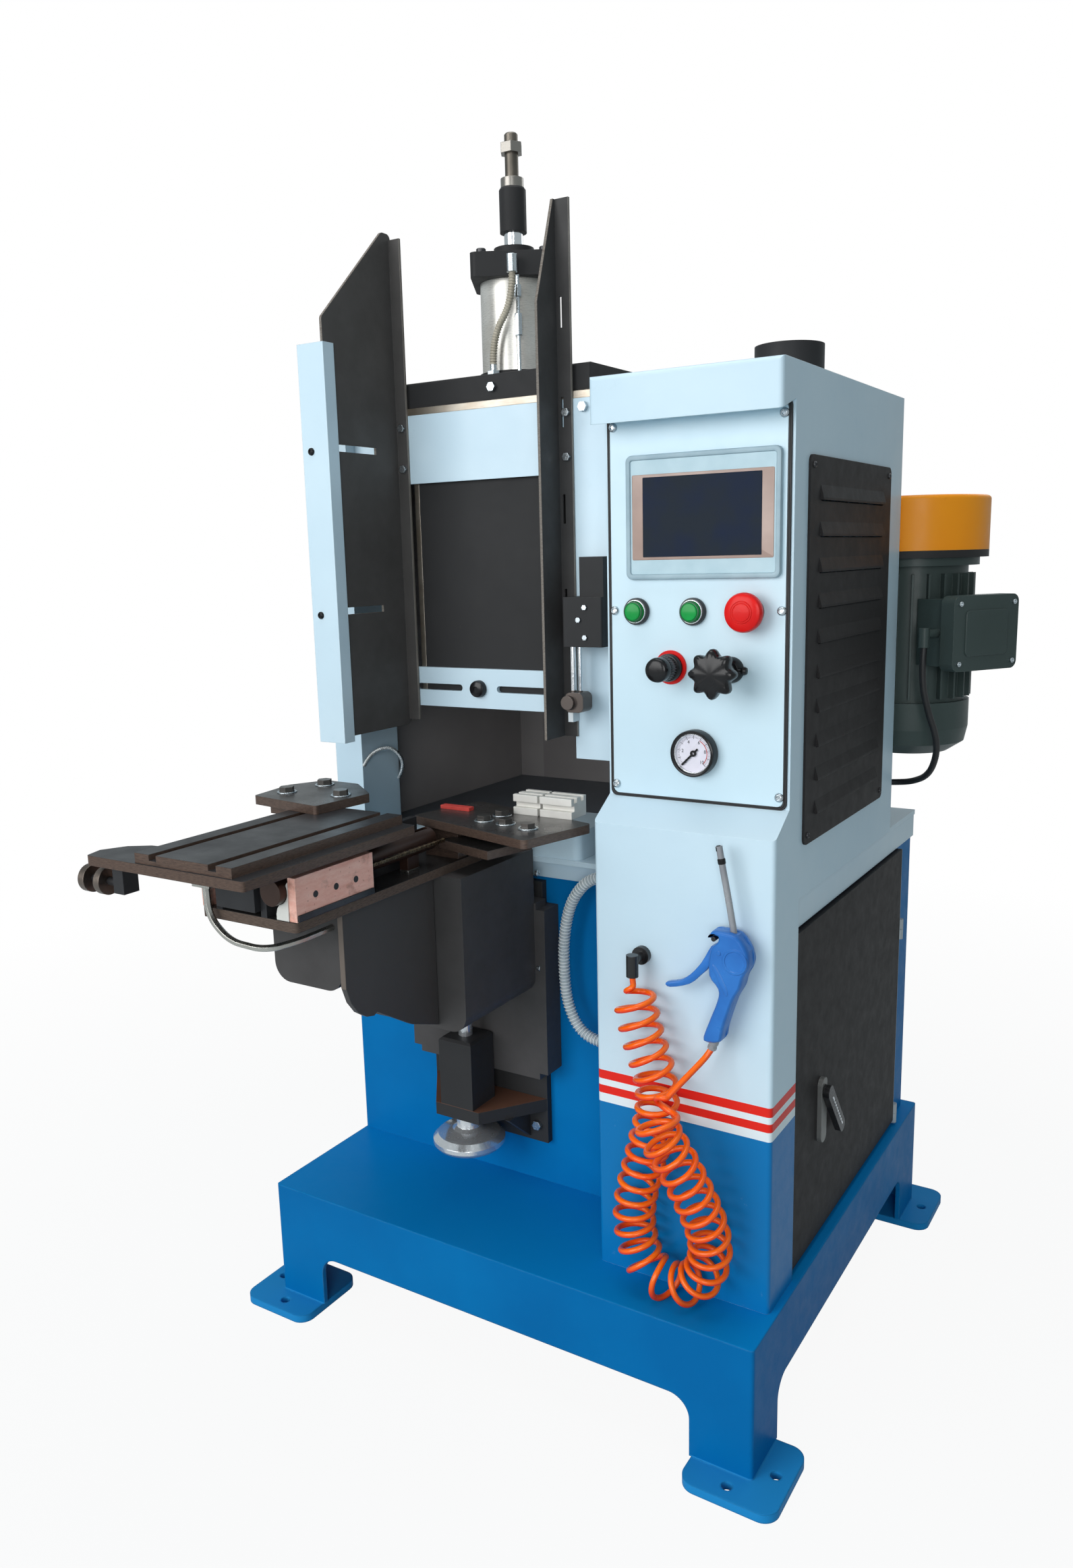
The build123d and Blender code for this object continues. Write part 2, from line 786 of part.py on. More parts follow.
save("ram_band", front_cut(face, ram_face_y - band_thickness, ram_face_y))

# Pusher
pusher_y = column_front - pusher_depth * 0.65
rod_px = pusher_left + 1.45 * pusher_rod
guide_px = rod_px + 3 * pusher_rod - 2
lower = block(pusher_left, pusher_left + pusher_width, column_front - pusher_depth, column_front,
              pusher_bottom, pusher_bottom + pusher_height)
upper = block(pusher_left + 25, pusher_left + pusher_width, column_front - pusher_depth + 6, column_front,
              pusher_bottom + pusher_height, pusher_bottom + pusher_height + pusher_upper)
body = fillet((lower + upper).edges().filter_by(Axis.Z).group_by(Axis.Y)[0], 3)
for x, radius in ((rod_px, pusher_rod), (guide_px, pusher_guide)):
    body -= rod_z(x, pusher_y, pusher_bottom - 1, pusher_bottom + pusher_height + 1, radius + rod_fit)
save("pusher_body", body)
cross_top = pusher_bottom - pusher_drop
rods = block(pusher_left, pusher_left + crosshead_width, pusher_y - 13, pusher_y + 13,
             cross_top - crosshead_height, cross_top)
rods = fillet(rods.edges().filter_by(Axis.Y), 8)
for x, radius in ((rod_px, pusher_rod), (guide_px, pusher_guide)):
    rods += rod_z(x, pusher_y, cross_top - 2, pusher_bottom + pusher_height - 6, radius)
rods += rod_y(rod_px, cross_top - crosshead_height / 2, pusher_y - 19, pusher_y - 12, 10)
rods += block(rod_px - 4, rod_px + 4, pusher_y - 9, pusher_y + 9, cross_top - crosshead_height - 14,
              cross_top - crosshead_height + 1)
save("pusher_rods", rods)

# Spindle and its housing
place = Pos(work_x, spindle_y, 0)
housing_top = housing_bottom + housing_height
housing = rod_z(work_x, spindle_y, housing_bottom, housing_top, housing_radius)
housing += block(work_x - web_width / 2, work_x + web_width / 2, spindle_y, housing_rear - head_sheet,
                 housing_bottom + 20, housing_top - 20)
housing -= turned([(0, housing_bottom - 1), (spindle_radius + rod_fit, housing_bottom - 1),
                   (spindle_radius + rod_fit, housing_bottom + spindle_seat),
                   (spindle_radius + 6, housing_bottom + spindle_seat),
                   (spindle_radius + 6, housing_top - spindle_seat),
                   (spindle_radius + rod_fit, housing_top - spindle_seat),
                   (spindle_radius + rod_fit, housing_top + 1), (0, housing_top + 1)], place)
save("spindle_housing", housing)


def pulley(radius, bore):
    top = pulley_z + pulley_width
    return [(bore, pulley_z), (radius, pulley_z), (radius, top), (bore, top)]


shaft = turned([(0, cutter_bottom - 10), (spindle_radius - 5, cutter_bottom - 10),
                (spindle_radius - 5, cutter_bottom + cutter_height),
                (spindle_radius, cutter_bottom + cutter_height),
                (spindle_radius, pulley_z + pulley_width + 20), (0, pulley_z + pulley_width + 20)], place)
drum = turned(pulley(spindle_pulley, spindle_radius + rod_fit), place)
cutter = rod_z(work_x, spindle_y, cutter_bottom, cutter_bottom + cutter_height, cutter_radius - 8)
for i in range(4):
    knife = Rot(0, 0, 90 * i) * Pos(cutter_radius - 14, 5, 0) * Box(28, 7, cutter_height - 6)
    cutter += Pos(work_x, spindle_y, cutter_bottom + cutter_height / 2) * knife
cutter -= rod_z(work_x, spindle_y, cutter_bottom - 1, cutter_bottom + cutter_height + 1,
                spindle_radius - 5 + rod_fit)
save("spindle", shaft, drum, cutter)

# Motor
place = Pos(motor_x, motor_y, 0)
fan_top = motor_bottom + fan_height
fins = Circle(motor_radius)
for i in range(fin_count):
    fin_at = Rot(0, 0, 360 / fin_count * i) * Pos(motor_radius + fin_height / 2 - 2, 0)
    fins += fin_at * Rectangle(fin_height + 4, fin_thickness)
motor = plan(Pos(motor_x, motor_y) * fins, fan_top + 6, bracket_z - 24)
motor += rod_z(motor_x, motor_y, fan_top, bracket_z - 12, motor_radius)
motor += rod_z(motor_x, motor_y, bracket_z - 12, bracket_z, motor_radius + fin_height + 5)
motor -= rod_z(motor_x, motor_y, bracket_z - 70, bracket_z + 1, rotor_radius + rod_fit)
cowl = motor_radius + fin_height - 2
fan = turned([(0, motor_bottom), (cowl - 29, motor_bottom), (cowl - 5, motor_bottom + 16),
              (cowl, motor_bottom + 40), (cowl, fan_top), (0, fan_top)], place)
for i in range(8):
    fan -= place * Rot(0, 0, 45 * i) * Pos(motor_radius / 2, 0, motor_bottom) * Box(motor_radius / 3, 9, 16)
box_z = fan_top + 111
turned_out = place * Rot(0, 0, -box_turn) * Pos(0, 0, box_z)
motor += turned_out * Pos((motor_radius - fin_height + box_reach) / 2, 0) * Box(
    box_reach - motor_radius + fin_height, box_width, box_height)
gland_y = -box_width / 2 - gland_reach
gland = rod_y(gland_at, 0, gland_y, -box_width / 2, gland_barrel - 1.5)
gland += rod_z(gland_at, gland_y, -2.5 * gland_barrel, gland_barrel + 1, gland_barrel)
lid = turned_out * Pos(box_reach + lid_depth / 2, 0) * Box(
    lid_depth, box_width + 2 * lid_margin, box_height + 1.3 * lid_margin)
lid = fillet(lid.edges().filter_by(lambda e: abs(e.center().Z - box_z) > box_height / 2 and
                                   abs(e.tangent_at(0).Z) < 0.1 and e.length < 2 * lid_depth), lid_round)
save("motor_frame", motor, fan, lid, turned_out * gland)
rotor = rod_z(motor_x, motor_y, bracket_z - 60, pulley_z + pulley_width + 12, rotor_radius)
save("motor_rotor", rotor, turned(pulley(motor_pulley, rotor_radius + rod_fit), place))


def belt_loop(extra):
    ends = (Pos(motor_x, motor_y) * Circle(motor_pulley + extra)).edges()
    ends += (Pos(work_x, spindle_y) * Circle(spindle_pulley + extra)).edges()
    return make_hull(ends)


belt = belt_loop(turn_gap + belt_thickness) - belt_loop(turn_gap)
save("drive_belt", plan(belt, pulley_z + belt_inset, pulley_z + pulley_width - belt_inset))


def guard_shape(inset, left):
    edges = (Pos(motor_x, motor_y) * Circle(guard_radius - inset)).edges()
    edges += Polyline((left, belt_guard_front + inset), (left, belt_guard_rear - inset)).edges()
    return make_hull(edges)


hood = plan(guard_shape(0, belt_guard_left), bracket_top, bracket_top + guard_height)
hood = fillet(hood.edges().group_by(Axis.Z)[-1], 6)
hood -= plan(guard_shape(guard_wall, belt_guard_left - 12), bracket_top - 1,
             bracket_top + guard_height - guard_wall)
save("belt_guard", hood)
bracket = plan(guard_shape(0, belt_guard_left), bracket_z, bracket_top)
leg_left = belt_guard_left + 48
bracket += block(leg_left, pillar_right - 20, pillar_rear, pillar_rear + 8, bracket_z - 100, bracket_top)
for x in (leg_left, leg_left + 40):
    bracket += side_cut(outline([(pillar_rear + 4, bracket_z - 100), (pillar_rear + 100, bracket_z + 1),
                                 (pillar_rear + 4, bracket_z + 1)]), x, x + 8)
bracket -= rod_z(motor_x, motor_y, bracket_z - 1, bracket_top + 1, 2 * rotor_radius)
save("motor_bracket", bracket)

# Column way, screw shelf, bearing block and press bed
way_right = way_left + way_plate_width
way_front = column_front - way_plate_depth
way = block(way_left, way_right, way_front, column_front, way_plate_bottom, way_plate_top)
way += plan(outline([(way_left, way_front + 1), (work_x - 40, screw_y - block_side / 2),
                     (work_x + 40, screw_y - block_side / 2), (way_right, way_front + 1)]),
            shelf_z, shelf_z + shelf_thickness)
way += side_cut(outline([(way_front + 1, way_plate_bottom + 4), (way_front + 1, shelf_z + 1),
                         (way_front - 60, shelf_z + 1)]), way_right - 40, way_right - 32)
way -= rod_z(work_x, screw_y, shelf_z - 1, shelf_z + shelf_thickness + 1, screw_radius + 4)
bearing = block(work_x - block_side / 2, work_x + block_side / 2, screw_y - block_side / 2,
                screw_y + block_side / 2,
                shelf_z + shelf_thickness, shelf_z + shelf_thickness + block_height)
bearing = chamfer(bearing.edges().group_by(Axis.Z)[-1], 4)
bearing -= rod_z(work_x, screw_y, shelf_z, shelf_z + 2 * block_height, screw_radius + rod_fit)
press_bed = block(work_x + 22, opening_right + 14, tray_front + 2, tray_front + 132, tray_top,
                  tray_top + 42)
save("column_way", way, bearing, fillet(press_bed.edges().filter_by(Axis.Z), 12))

# Knee
knee_right = knee_left + knee_width
knee = block(knee_left, knee_right, knee_front, knee_rear, knee_bottom, knee_top)
knee = fillet(knee.edges().filter_by(Axis.Y).group_by(Axis.Z)[0], knee_round)
nose = block(nose_left, nose_left + nose_width, nose_front, knee_front + 1, nose_bottom, knee_top)
nose = fillet(nose.edges().filter_by(Axis.Y).group_by(Axis.Z)[0], knee_round)
knee += nose
knee += block(knee_left - saddle_lip, knee_right + saddle_lip, knee_rear - 1, way_front - slide_gap,
              saddle_bottom, saddle_top)
for x in (way_left - slide_gap - gib_width, way_right + slide_gap):
    knee += block(x, x + gib_width, knee_rear - 1, column_front - slide_gap, saddle_bottom + gib_inset,
                  saddle_top - gib_inset)
knee -= block(knee_left + knee_wall, knee_right - knee_wall, knee_front + knee_wall, knee_rear - knee_wall,
              knee_bottom + knee_floor, knee_top - knee_wall)
knee -= block(nose_left + knee_wall, nose_left + nose_width - knee_wall, nose_front + knee_wall,
              knee_front - 1,
              nose_bottom + knee_wall, knee_top - knee_wall)
nut_z = knee_bottom + knee_floor
knee += block(work_x - nut_side / 2, work_x + nut_side / 2, screw_y - nut_side / 2, screw_y + nut_side / 2,
              nut_z - 1, nut_z + nut_height)
knee -= rod_z(work_x, screw_y, knee_bottom - 1, nut_z + nut_height + 1, screw_radius + rod_fit)
bed = block(bed_left, bed_left + bed_width, bed_front, bed_rear, knee_top, bed_top)
save("knee_body", knee, fillet(bed.edges().filter_by(Axis.Z), bed_round))

# Handwheel and screw
wheel = turned([(0, wheel_bottom), (12, wheel_bottom), (16, wheel_bottom + 12),
                (wheel_radius - 16, wheel_bottom + 6),
                (wheel_radius - 4, wheel_bottom), (wheel_radius, wheel_bottom + 5),
                (wheel_radius, wheel_bottom + 12),
                (wheel_radius - 8, wheel_bottom + 20), (26, wheel_bottom + 26), (19, wheel_bottom + 30),
                (19, shelf_z - 3), (screw_radius, shelf_z - 3), (screw_radius, screw_top), (0, screw_top)],
               Pos(work_x, screw_y, 0))
save("handwheel", wheel)

# Guides on the bed
rail_right = rail_left + strip_inner
guide_top = table_bottom - table_gap
strips = [block(x, x + strip_thickness, bed_front, strip_rear, bed_top, guide_top)
          for x in (rail_left - slide_gap - strip_thickness, rail_right + slide_gap)]
save("guide_strips", *strips)
bed_right = bed_left + bed_width
blocks = [block(x, x + block_thickness, block_front, block_rear, bed_top, block_top)
          for x in (bed_left, bed_right - block_thickness)]
fixture_top = fixture_z + fixture_plate
blocks.append(block(work_x + 12, work_x + 62, bed_rear - 98, bed_rear - 86, fixture_top, fixture_top + 5))
save("guide_blocks", *blocks)

# Rodless feed cylinder, its valve block and bent pipe
barrel = rod_y(barrel_x, barrel_z, barrel_front, strip_rear, barrel_radius)
for y in (barrel_front + 30, strip_rear - 54):
    barrel += block(barrel_x - barrel_foot / 2, barrel_x + barrel_foot / 2, y, y + 24, bed_top, barrel_z)
barrel -= rod_y(barrel_x, barrel_z, barrel_front + 8, strip_rear - 8, barrel_radius - barrel_wall)
barrel -= block(barrel_x - barrel_slot / 2, barrel_x + barrel_slot / 2, barrel_front + 12, strip_rear - 4,
                barrel_z, barrel_z + barrel_radius + 1)
valve_right = rail_left - 1
valve = block(valve_right - 29, valve_right, bed_front - 18, bed_front, bed_top + 30, table_bottom - 7)


def soft_path(points):
    radii = []
    for a, b, c in zip(points, points[1:], points[2:]):
        u = Vector(b) - Vector(a)
        v = Vector(c) - Vector(b)
        half = math.radians(u.get_angle(v)) / 2
        radii.append(round(0.45 * min(u.length, v.length) / math.tan(half), 2))
    return FilletPolyline(*points, radius=radii), radii


def tube(name, points, radius, sides=6):
    path, radii = soft_path(points)
    section = Plane(path @ 0, z_dir=path % 0) * RegularPolygon(radius, sides)
    solid = sweep(section, path=path)
    print(name, "bend radii", radii, "volume ratio", round(solid.volume / (section.area * path.length), 4))
    return solid


pipe_y = bed_front - 10
pipe = tube("air pipe", [(valve_right - 14, pipe_y, bed_top + 30), (valve_right - 12, pipe_y, bed_top - 8),
                         (valve_right + 20, pipe_y, bed_top - 34),
                         (valve_right + 74, pipe_y + 4, bed_top - 38),
                         (nose_left + nose_width - 12, bed_front + 34, bed_top - 37),
                         (nose_left + nose_width - 12, nose_front, bed_top - 37)], pipe_radius)
save("feed_cylinder", barrel, valve, pipe)

# Feed table
table = plan(outline([(table_right, table_front), (arm_tip + 8, table_front), (arm_tip, table_front + 25),
                      (arm_tip + 15, table_front + 53), (arm_tip + 40, table_front + 69),
                      (bed_left, table_front + 77),
                      (bed_left, table_rear), (table_right, table_rear)], 4), table_bottom, table_mid)
table += block(rail_left, rail_right, rail_front, rail_rear, rail_bottom, table_bottom + 1)
table += block(barrel_x - barrel_slot / 2 + slide_gap, barrel_x + barrel_slot / 2 - slide_gap,
               barrel_front + 16, barrel_front + 40, barrel_z + barrel_radius - 3, table_bottom + 1)
table += block(arm_tip + 36, arm_tip + 54, roller_y - 11, roller_y + 11, roller_z - 10, table_bottom + 1)
table += rod_x(roller_y, roller_z, arm_tip - 24, arm_tip + 40, roller_pin)
top = block(bed_left, bed_right, table_front + 3, table_rear - 3, table_mid, table_top_z)
for x in (bed_left + groove_inset, bed_right - groove_inset):
    top -= block(x - groove_width / 2, x + groove_width / 2, table_front, table_rear,
                 table_top_z - groove_depth,
                 table_top_z + 1)
save("feed_table", table, top)
rollers = []
for x in (arm_tip - 22, arm_tip + 6):
    disc = rod_x(roller_y, roller_z, x, x + roller_width, roller_radius)
    disc -= rod_x(roller_y, roller_z, x - 1, x + roller_width + 1, roller_pin + rod_fit)
    rollers.append(disc)
save("roller_pair", *rollers)

# Fixture plates
left_top = table_top_z + fixture_plate
left_at = Pos(bed_left, table_rear)
plate = plan(left_at * outline([(-71, -37), (55, -54), (66, 41), (5, 89), (-56, 92), (-82, 42)], 5),
             table_top_z, left_top)
plate += block(bed_left - 50, bed_left - 1, table_rear - 29, table_rear - 13, table_mid, table_top_z + 1)
heads = [hexagon(bed_left + x, table_rear + y, left_top, left_top + bolt_head, bolt_flats)
         for x, y in ((-46, 0), (-34, 63), (38, 15))]
save("left_fixture", plate, *heads)
turn = Pos(work_x + 3, bed_rear - 151, 0) * Rot(0, 0, -14.9)
upper = plan(turn * Pos(115, 62) * RectangleRounded(230, 124, 8), fixture_z, fixture_top)
lower = plan(turn * Pos(108, 40) * Rectangle(101, 80), fixture_z - 26, fixture_z - 14)
lower += block(work_x + 18, work_x + 74, bed_rear - 144, bed_rear - 50, bed_top, fixture_z)
heads = [hexagon(work_x + x, bed_rear + y, fixture_top, fixture_top + bolt_head, bolt_flats)
         for x, y in ((114, -136), (118, -98), (152, -140), (194, -150))]
save("right_fixture", upper, lower, *heads)
stop_x = work_x + 127
stop_y = bed_rear - 82
stops = []
for x0, x1 in ((0, 0.42), (0.46, 1)):
    stop_mid = Pos(stop_y + stop_depth / 2, fixture_top + stop_height / 2)
    section = stop_mid * Rectangle(stop_depth, stop_height)
    section -= Pos(stop_y, fixture_top + stop_height / 2) * Rectangle(2 * stop_groove, stop_groove)
    for y in (0.27, 0.73):
        slot_at = Pos(stop_y + stop_depth * y, fixture_top + stop_height)
        section -= slot_at * Rectangle(stop_groove, 1.6 * stop_groove)
    stops.append(side_cut(section, stop_x + stop_length * x0, stop_x + stop_length * x1))
save("stop_block", *stops)

# Door with lock plate
door_x = cabinet_right + touch_gap
door_face = door_x + door_thickness
door = block(door_x, door_face, door_front, door_rear, door_bottom, door_top)
door -= block(door_x - 1, door_face - door_sheet, door_front + door_sheet, door_rear - door_sheet,
              door_bottom + door_sheet, door_top - door_sheet)
for z in hinge_heights:
    z0 = z + knuckle_height + turn_gap
    z1 = z + 2 * knuckle_height
    z0 = max(z0, door_bottom)
    door += block(hinge_x - 2, door_face, door_rear - door_sheet, hinge_y, z0, z1)
    door += rod_z(hinge_x, hinge_y, z0, z1, knuckle_radius)
    door -= rod_z(hinge_x, hinge_y, z0 - 1, z1 + 1, pin_radius + rod_fit)
lock = block(door_face, door_face + lock_thickness, lock_y - lock_width / 2, lock_y + lock_width / 2,
             lock_z - lock_height / 2, lock_z + lock_height / 2)
save("door", door, fillet(lock.edges().filter_by(Axis.X), lock_width / 2 - 1))
lever_x = door_face + lock_thickness + touch_gap
arm_at = Pos(lock_y, lever_pivot_z) * Rot(0, 0, lever_swing - 90) * Pos(lever_length / 2, 0)
arm = arm_at * SlotCenterToCenter(lever_length, lever_width)
save("door_lever", side_cut(arm, lever_x, lever_x + lever_thickness))

# Buttons and knobs
for name, x in (("start_button", start_x), ("cycle_button", cycle_x)):
    cap = rod_y(x, button_z, panel_front - 4 * button_travel, panel_front - button_travel - touch_gap,
                button_radius)
    save(name, cap + hex_y(x, button_z, panel_front - button_travel - 1, panel_front + button_tail,
                           button_stem))
mushroom = turned([(0, 0), (button_stem, 0), (button_stem, 26), (estop_radius - 4, 32), (estop_radius, 38),
                   (estop_radius - 2, 46), (estop_radius - 12, 51), (0, 52)],
                  Pos(estop_x, panel_front + button_tail, button_z) * Rot(90, 0, 0))
save("estop_button", mushroom)


def lobed(x, z, count, crest, root, share, dip):
    points = []
    for i in range(count):
        for radius, at in ((crest, -share), (crest, share), (root, 1 - dip), (root, 1 + dip)):
            angle = math.pi / count * (2 * i + at)
            points.append((x + radius * math.cos(angle), z + radius * math.sin(angle)))
    return outline(points)


grip = lobed(regulator_x, regulator_z, regulator_ribs, regulator_radius, regulator_radius - 1.5, 0.6, 0.3)
knob = front_cut(grip, panel_front - 46, panel_front - 14)
knob += rod_y(regulator_x, regulator_z, panel_front - 14, panel_front - 4, regulator_radius + 4)
knob += hex_y(regulator_x, regulator_z, panel_front - 5, panel_front + button_tail, button_stem)
save("regulator_knob", knob)
star = lobed(star_x, star_z, star_lobes, star_radius, star_radius - 6, 0.5, 0.18)
star_front = panel_front - star_reach
knob = front_cut(star, star_front, star_front + star_thickness)
knob += rod_y(star_x, star_z, star_front + star_thickness - 1, panel_front - 4, button_stem + 2)
knob += hex_y(star_x, star_z, panel_front - 5, panel_front + button_tail, button_stem)
save("star_knob", knob)
place = Pos(gauge_x, panel_front, gauge_z) * Rot(90, 0, 0)
gauge = turned([(0, 0), (gauge_radius, 0), (gauge_radius, gauge_depth), (gauge_radius - 4, gauge_depth),
                (gauge_radius - 5, gauge_depth - 8), (0, gauge_depth - 8)], place)
gauge += rod_y(gauge_x, gauge_z, panel_front - gauge_depth + 4, panel_front - gauge_depth + 9, gauge_pin)
save("gauge", gauge)
needle_y = panel_front - gauge_depth + 5
needle_tip = gauge_radius - 8
needle_tail = 8
needle = Pos((needle_tip - needle_tail) / 2, 0) * Rectangle(needle_tip + needle_tail, 2.4) + Circle(4)
needle = Pos(gauge_x, gauge_z) * Rot(0, 0, 225) * needle
needle -= Pos(gauge_x, gauge_z) * Circle(gauge_pin + rod_fit)
save("gauge_pointer", front_cut(needle, needle_y, needle_y + 2))

# Blow gun hanging by its hook, drawn from the foot of its grip
gun_at = Pos(gun_x, gun_y, gun_z)
pivot_x = 10
pivot_z = 118
hook_x = 3
hook_z = 138
body = outline([(-11, 0), (11, 2), (16, 21), (28, 58), (37, 75), (41, 90), (48, 105), (46, 124), (32, 142),
                (10, 145), (0, 144), (-4, 137), (-1, hook_z - 3), (0, hook_z), (8, hook_z), (7, 131),
                (-2, 120),
                (-4, 87), (8, 71), (7, 55), (-5, 23)])
gun = front_cut(body, -gun_thickness / 2, gun_thickness / 2)
gun += turned([(0, -gun_nipple), (6, -gun_nipple), (6, 3), (0, 3)], Rot(0, gun_lean, 0))
gun += tube("nozzle", [(25, 0, 138), (17, 0, 183), (7, 0, 231), (4, 0, 250)], nozzle_radius)
gun -= block(pivot_x - 50, pivot_x + 10, -trigger_slot / 2, trigger_slot / 2, pivot_z - 54, pivot_z + 11)
gun += rod_y(pivot_x, pivot_z, -trigger_slot / 2 - 4, trigger_slot / 2 + 4, trigger_pin)
save("blow_gun", gun_at * gun)
lever = outline([(15, 121), (12, 124), (4, 125), (-4, 122), (-17, 99), (-32, 81), (-47, 70), (-66, 64),
                 (-60, 59),
                 (-33, 68), (-17, 83), (-11, 89), (-1, 104), (6, 112), (13, 114)])
lever -= Pos(pivot_x, pivot_z) * Circle(trigger_pin + rod_fit)
half = trigger_slot / 2 - turn_gap
save("gun_trigger", gun_at * front_cut(lever, -half, half))

# Pipe fittings and the peg the gun hangs on
port = rod_y(port_x, port_z, pillar_front - 8, pillar_front, 12)
port += rod_y(port_x, port_z, port_y, pillar_front - 7, 6)
port += rod_z(port_x, port_y, port_z - elbow_drop, port_z + 8, 8)
peg = rod_y(gun_x + hook_x, gun_z + hook_z - peg_radius, gun_y - gun_thickness / 2, pillar_front,
            peg_radius)
cap_normal = math.radians(cap_turn - 90)
port_mid = tube_top + cap_thickness / 2
cap_face = Vector(work_x + cap_side / 2 * math.cos(cap_normal), ram_y + cap_side / 2 * math.sin(cap_normal),
                  port_mid)
elbow_at = cap_face + Vector(math.cos(cap_normal), math.sin(cap_normal), 0) * 15
elbow = Plane((cap_face + elbow_at) / 2, z_dir=elbow_at - cap_face) * Cylinder(7, 15)
elbow += rod_z(elbow_at.X, elbow_at.Y, port_mid - 16, port_mid + 8, 8)
joint_x = work_x + 1
joint_y = ram_y - flange_radius - 10
union = hexagon(joint_x, joint_y, beam_top, beam_top + 12, 17) + rod_z(joint_x, joint_y, beam_top,
                                                                       beam_top + 22, 5)
sensor_x = work_x + 38
sensor_y = ram_y - 52
sensor = hexagon(sensor_x, sensor_y, beam_top, tube_top, 5)
sensor += hexagon(sensor_x, sensor_y, beam_top + 60, beam_top + 90, 10)
sensor += hexagon(sensor_x, sensor_y, tube_top - 30, tube_top - 14, 10)
hose_end = column_width - collar_length
collars = [hex_x(clear_y, z, hose_end, column_width, clear_radius + 3) for z in clear_ends]
save("pipe_fittings", port, peg, elbow, union, sensor, *collars)

# Bolts on the head
bolts = [hex_y(x, beam_bottom + beam_height / 2, beam_front - 6, beam_front, 7)
         for x in (beam_left + 60, work_x + 33, beam_right - 60)]
for x in (left_guard_x + left_flange - 8, right_guard_x + right_flange - 8):
    for z in (panel_lower_edge + 22, head_top - 18):
        bolts.append(hex_y(x, z, column_front - guard_sheet - 6, column_front - guard_sheet, 6))
bolts.append(hex_y(opening_right + 22, head_top - 12, column_front - 7, column_front, 7))
face_y = column_front - pusher_depth
for x, z in ((36, 54), (26, 37), (36, 13)):
    bolts.append(hex_y(pusher_left + x, pusher_bottom + z, face_y - 3, face_y, 4))
for x in (way_left + 18, way_right - 18):
    bolts.append(hex_y(x, way_plate_bottom + 28, way_front - 7, way_front, 8))
save("machine_bolts", *bolts)

# Motor cable from the gland's elbow round to the pillar's back
cable_top = (turned_out * Pos(gland_at, gland_y, -2.5 * gland_barrel)).position
cable_low = motor_bottom - 54
save("motor_cable", tube("motor cable", [
    tuple(cable_top), (cable_top.X - 2, cable_top.Y - 1, cable_top.Z - 45),
    (motor_x + 60, pillar_rear + 1, motor_bottom + 78), (motor_x + 71, pillar_rear + 15, motor_bottom + 38),
    (motor_x + 71, pillar_rear + 25, motor_bottom + 6), (motor_x + 55, pillar_rear + 47, motor_bottom - 30),
    (motor_x + 22, pillar_rear + 81, cable_low + 5), (motor_x - 9, pillar_rear + 89, cable_low),
    (motor_x - 39, pillar_rear + 78, cable_low), (motor_x - 57, pillar_rear + 52, cable_low),
    (motor_x - 57, pillar_rear, cable_low)], cable_radius))


def ribbed(name, points, radius, bore, pitch, depth, sides=6):
    path, radii = soft_path(points)
    print(name, "bend radii", radii)

    def section(s, size):
        at = path.position_at(s, position_mode=PositionMode.LENGTH)
        along = path.tangent_at(s, position_mode=PositionMode.LENGTH)
        frame = Plane(at, x_dir=Vector(0, 1, 0).cross(along), z_dir=along)
        return (frame * RegularPolygon(size, sides)).wire()

    end = radius
    count = int((path.length - 2 * end) / pitch)
    margin = (path.length - count * pitch) / 2
    outer = [section(0, radius - depth)]
    inner = [section(0, bore)]
    for i in range(count):
        s = margin + pitch * i
        outer += [section(s + pitch * 0.12, radius - depth), section(s + pitch * 0.3, radius),
                  section(s + pitch * 0.6, radius), section(s + pitch * 0.78, radius - depth)]
        inner.append(section(s + pitch / 2, bore))
    outer.append(section(path.length, radius - depth))
    inner.append(section(path.length, bore))
    print(name, "ribs", count)
    return Solid.make_loft(outer, ruled=True) - Solid.make_loft(inner, ruled=True)


# Ribbed clear hose and the ribbed cylinder hose
clear_top, clear_low = clear_ends
save("clear_hose", ribbed("clear hose", [
    (hose_end, clear_y, clear_top), (hose_end - 48, clear_y, clear_top),
    (hose_end - 88, clear_y, clear_top - 39),
    (hose_end - 103, clear_y, clear_top - 95), (hose_end - 105, clear_y, clear_top - 152),
    (hose_end - 100, clear_y, clear_low + 50), (hose_end - 78, clear_y, clear_low + 10),
    (hose_end - 40, clear_y, clear_low), (hose_end, clear_y, clear_low)],
    clear_radius, clear_bore, rib_pitch, rib_depth))
save("cylinder_hose", ribbed("cylinder hose", [
    (elbow_at.X, elbow_at.Y, port_mid - 16), (elbow_at.X, elbow_at.Y, port_mid - 54),
    (joint_x, joint_y, beam_top + 60), (joint_x, joint_y, beam_top + 22)], hose_radius, hose_bore,
    hose_pitch, hose_rib))

# Recoil hose: one tube coiled round a hanging teardrop route
up = Vector(math.sin(math.radians(gun_lean)), 0, math.cos(math.radians(gun_lean)))
gun_end = Vector(gun_x, gun_y, gun_z) - up * gun_nipple
coil_y = pillar_front - coil_radius - coil_tube / 2 - 4
low = deck_height + coil_radius + coil_tube / 2 + 5
route = [Vector(port_x, port_y, port_z - elbow_drop - coil_tube), Vector(634, coil_y, 570),
         Vector(664, coil_y, 490),
         Vector(642, coil_y, 400), Vector(618, coil_y, low + 80), Vector(634, coil_y, low + 18),
         Vector(673, coil_y, low), Vector(712, coil_y, low + 18), Vector(730, coil_y - 4, low + 80),
         Vector(706, coil_y - 36, 410), Vector(676, coil_y - 62, 486), Vector(703, coil_y - 30, 524),
         gun_end - up * coil_tube]
guide = Spline(*route, tangents=[(0, 0, -1), up])
step = 1.0
marks = []
phase = 0.0
normal = Vector(1, 0, 0)
last = guide.tangent_at(0)
coil_start = coil_tube
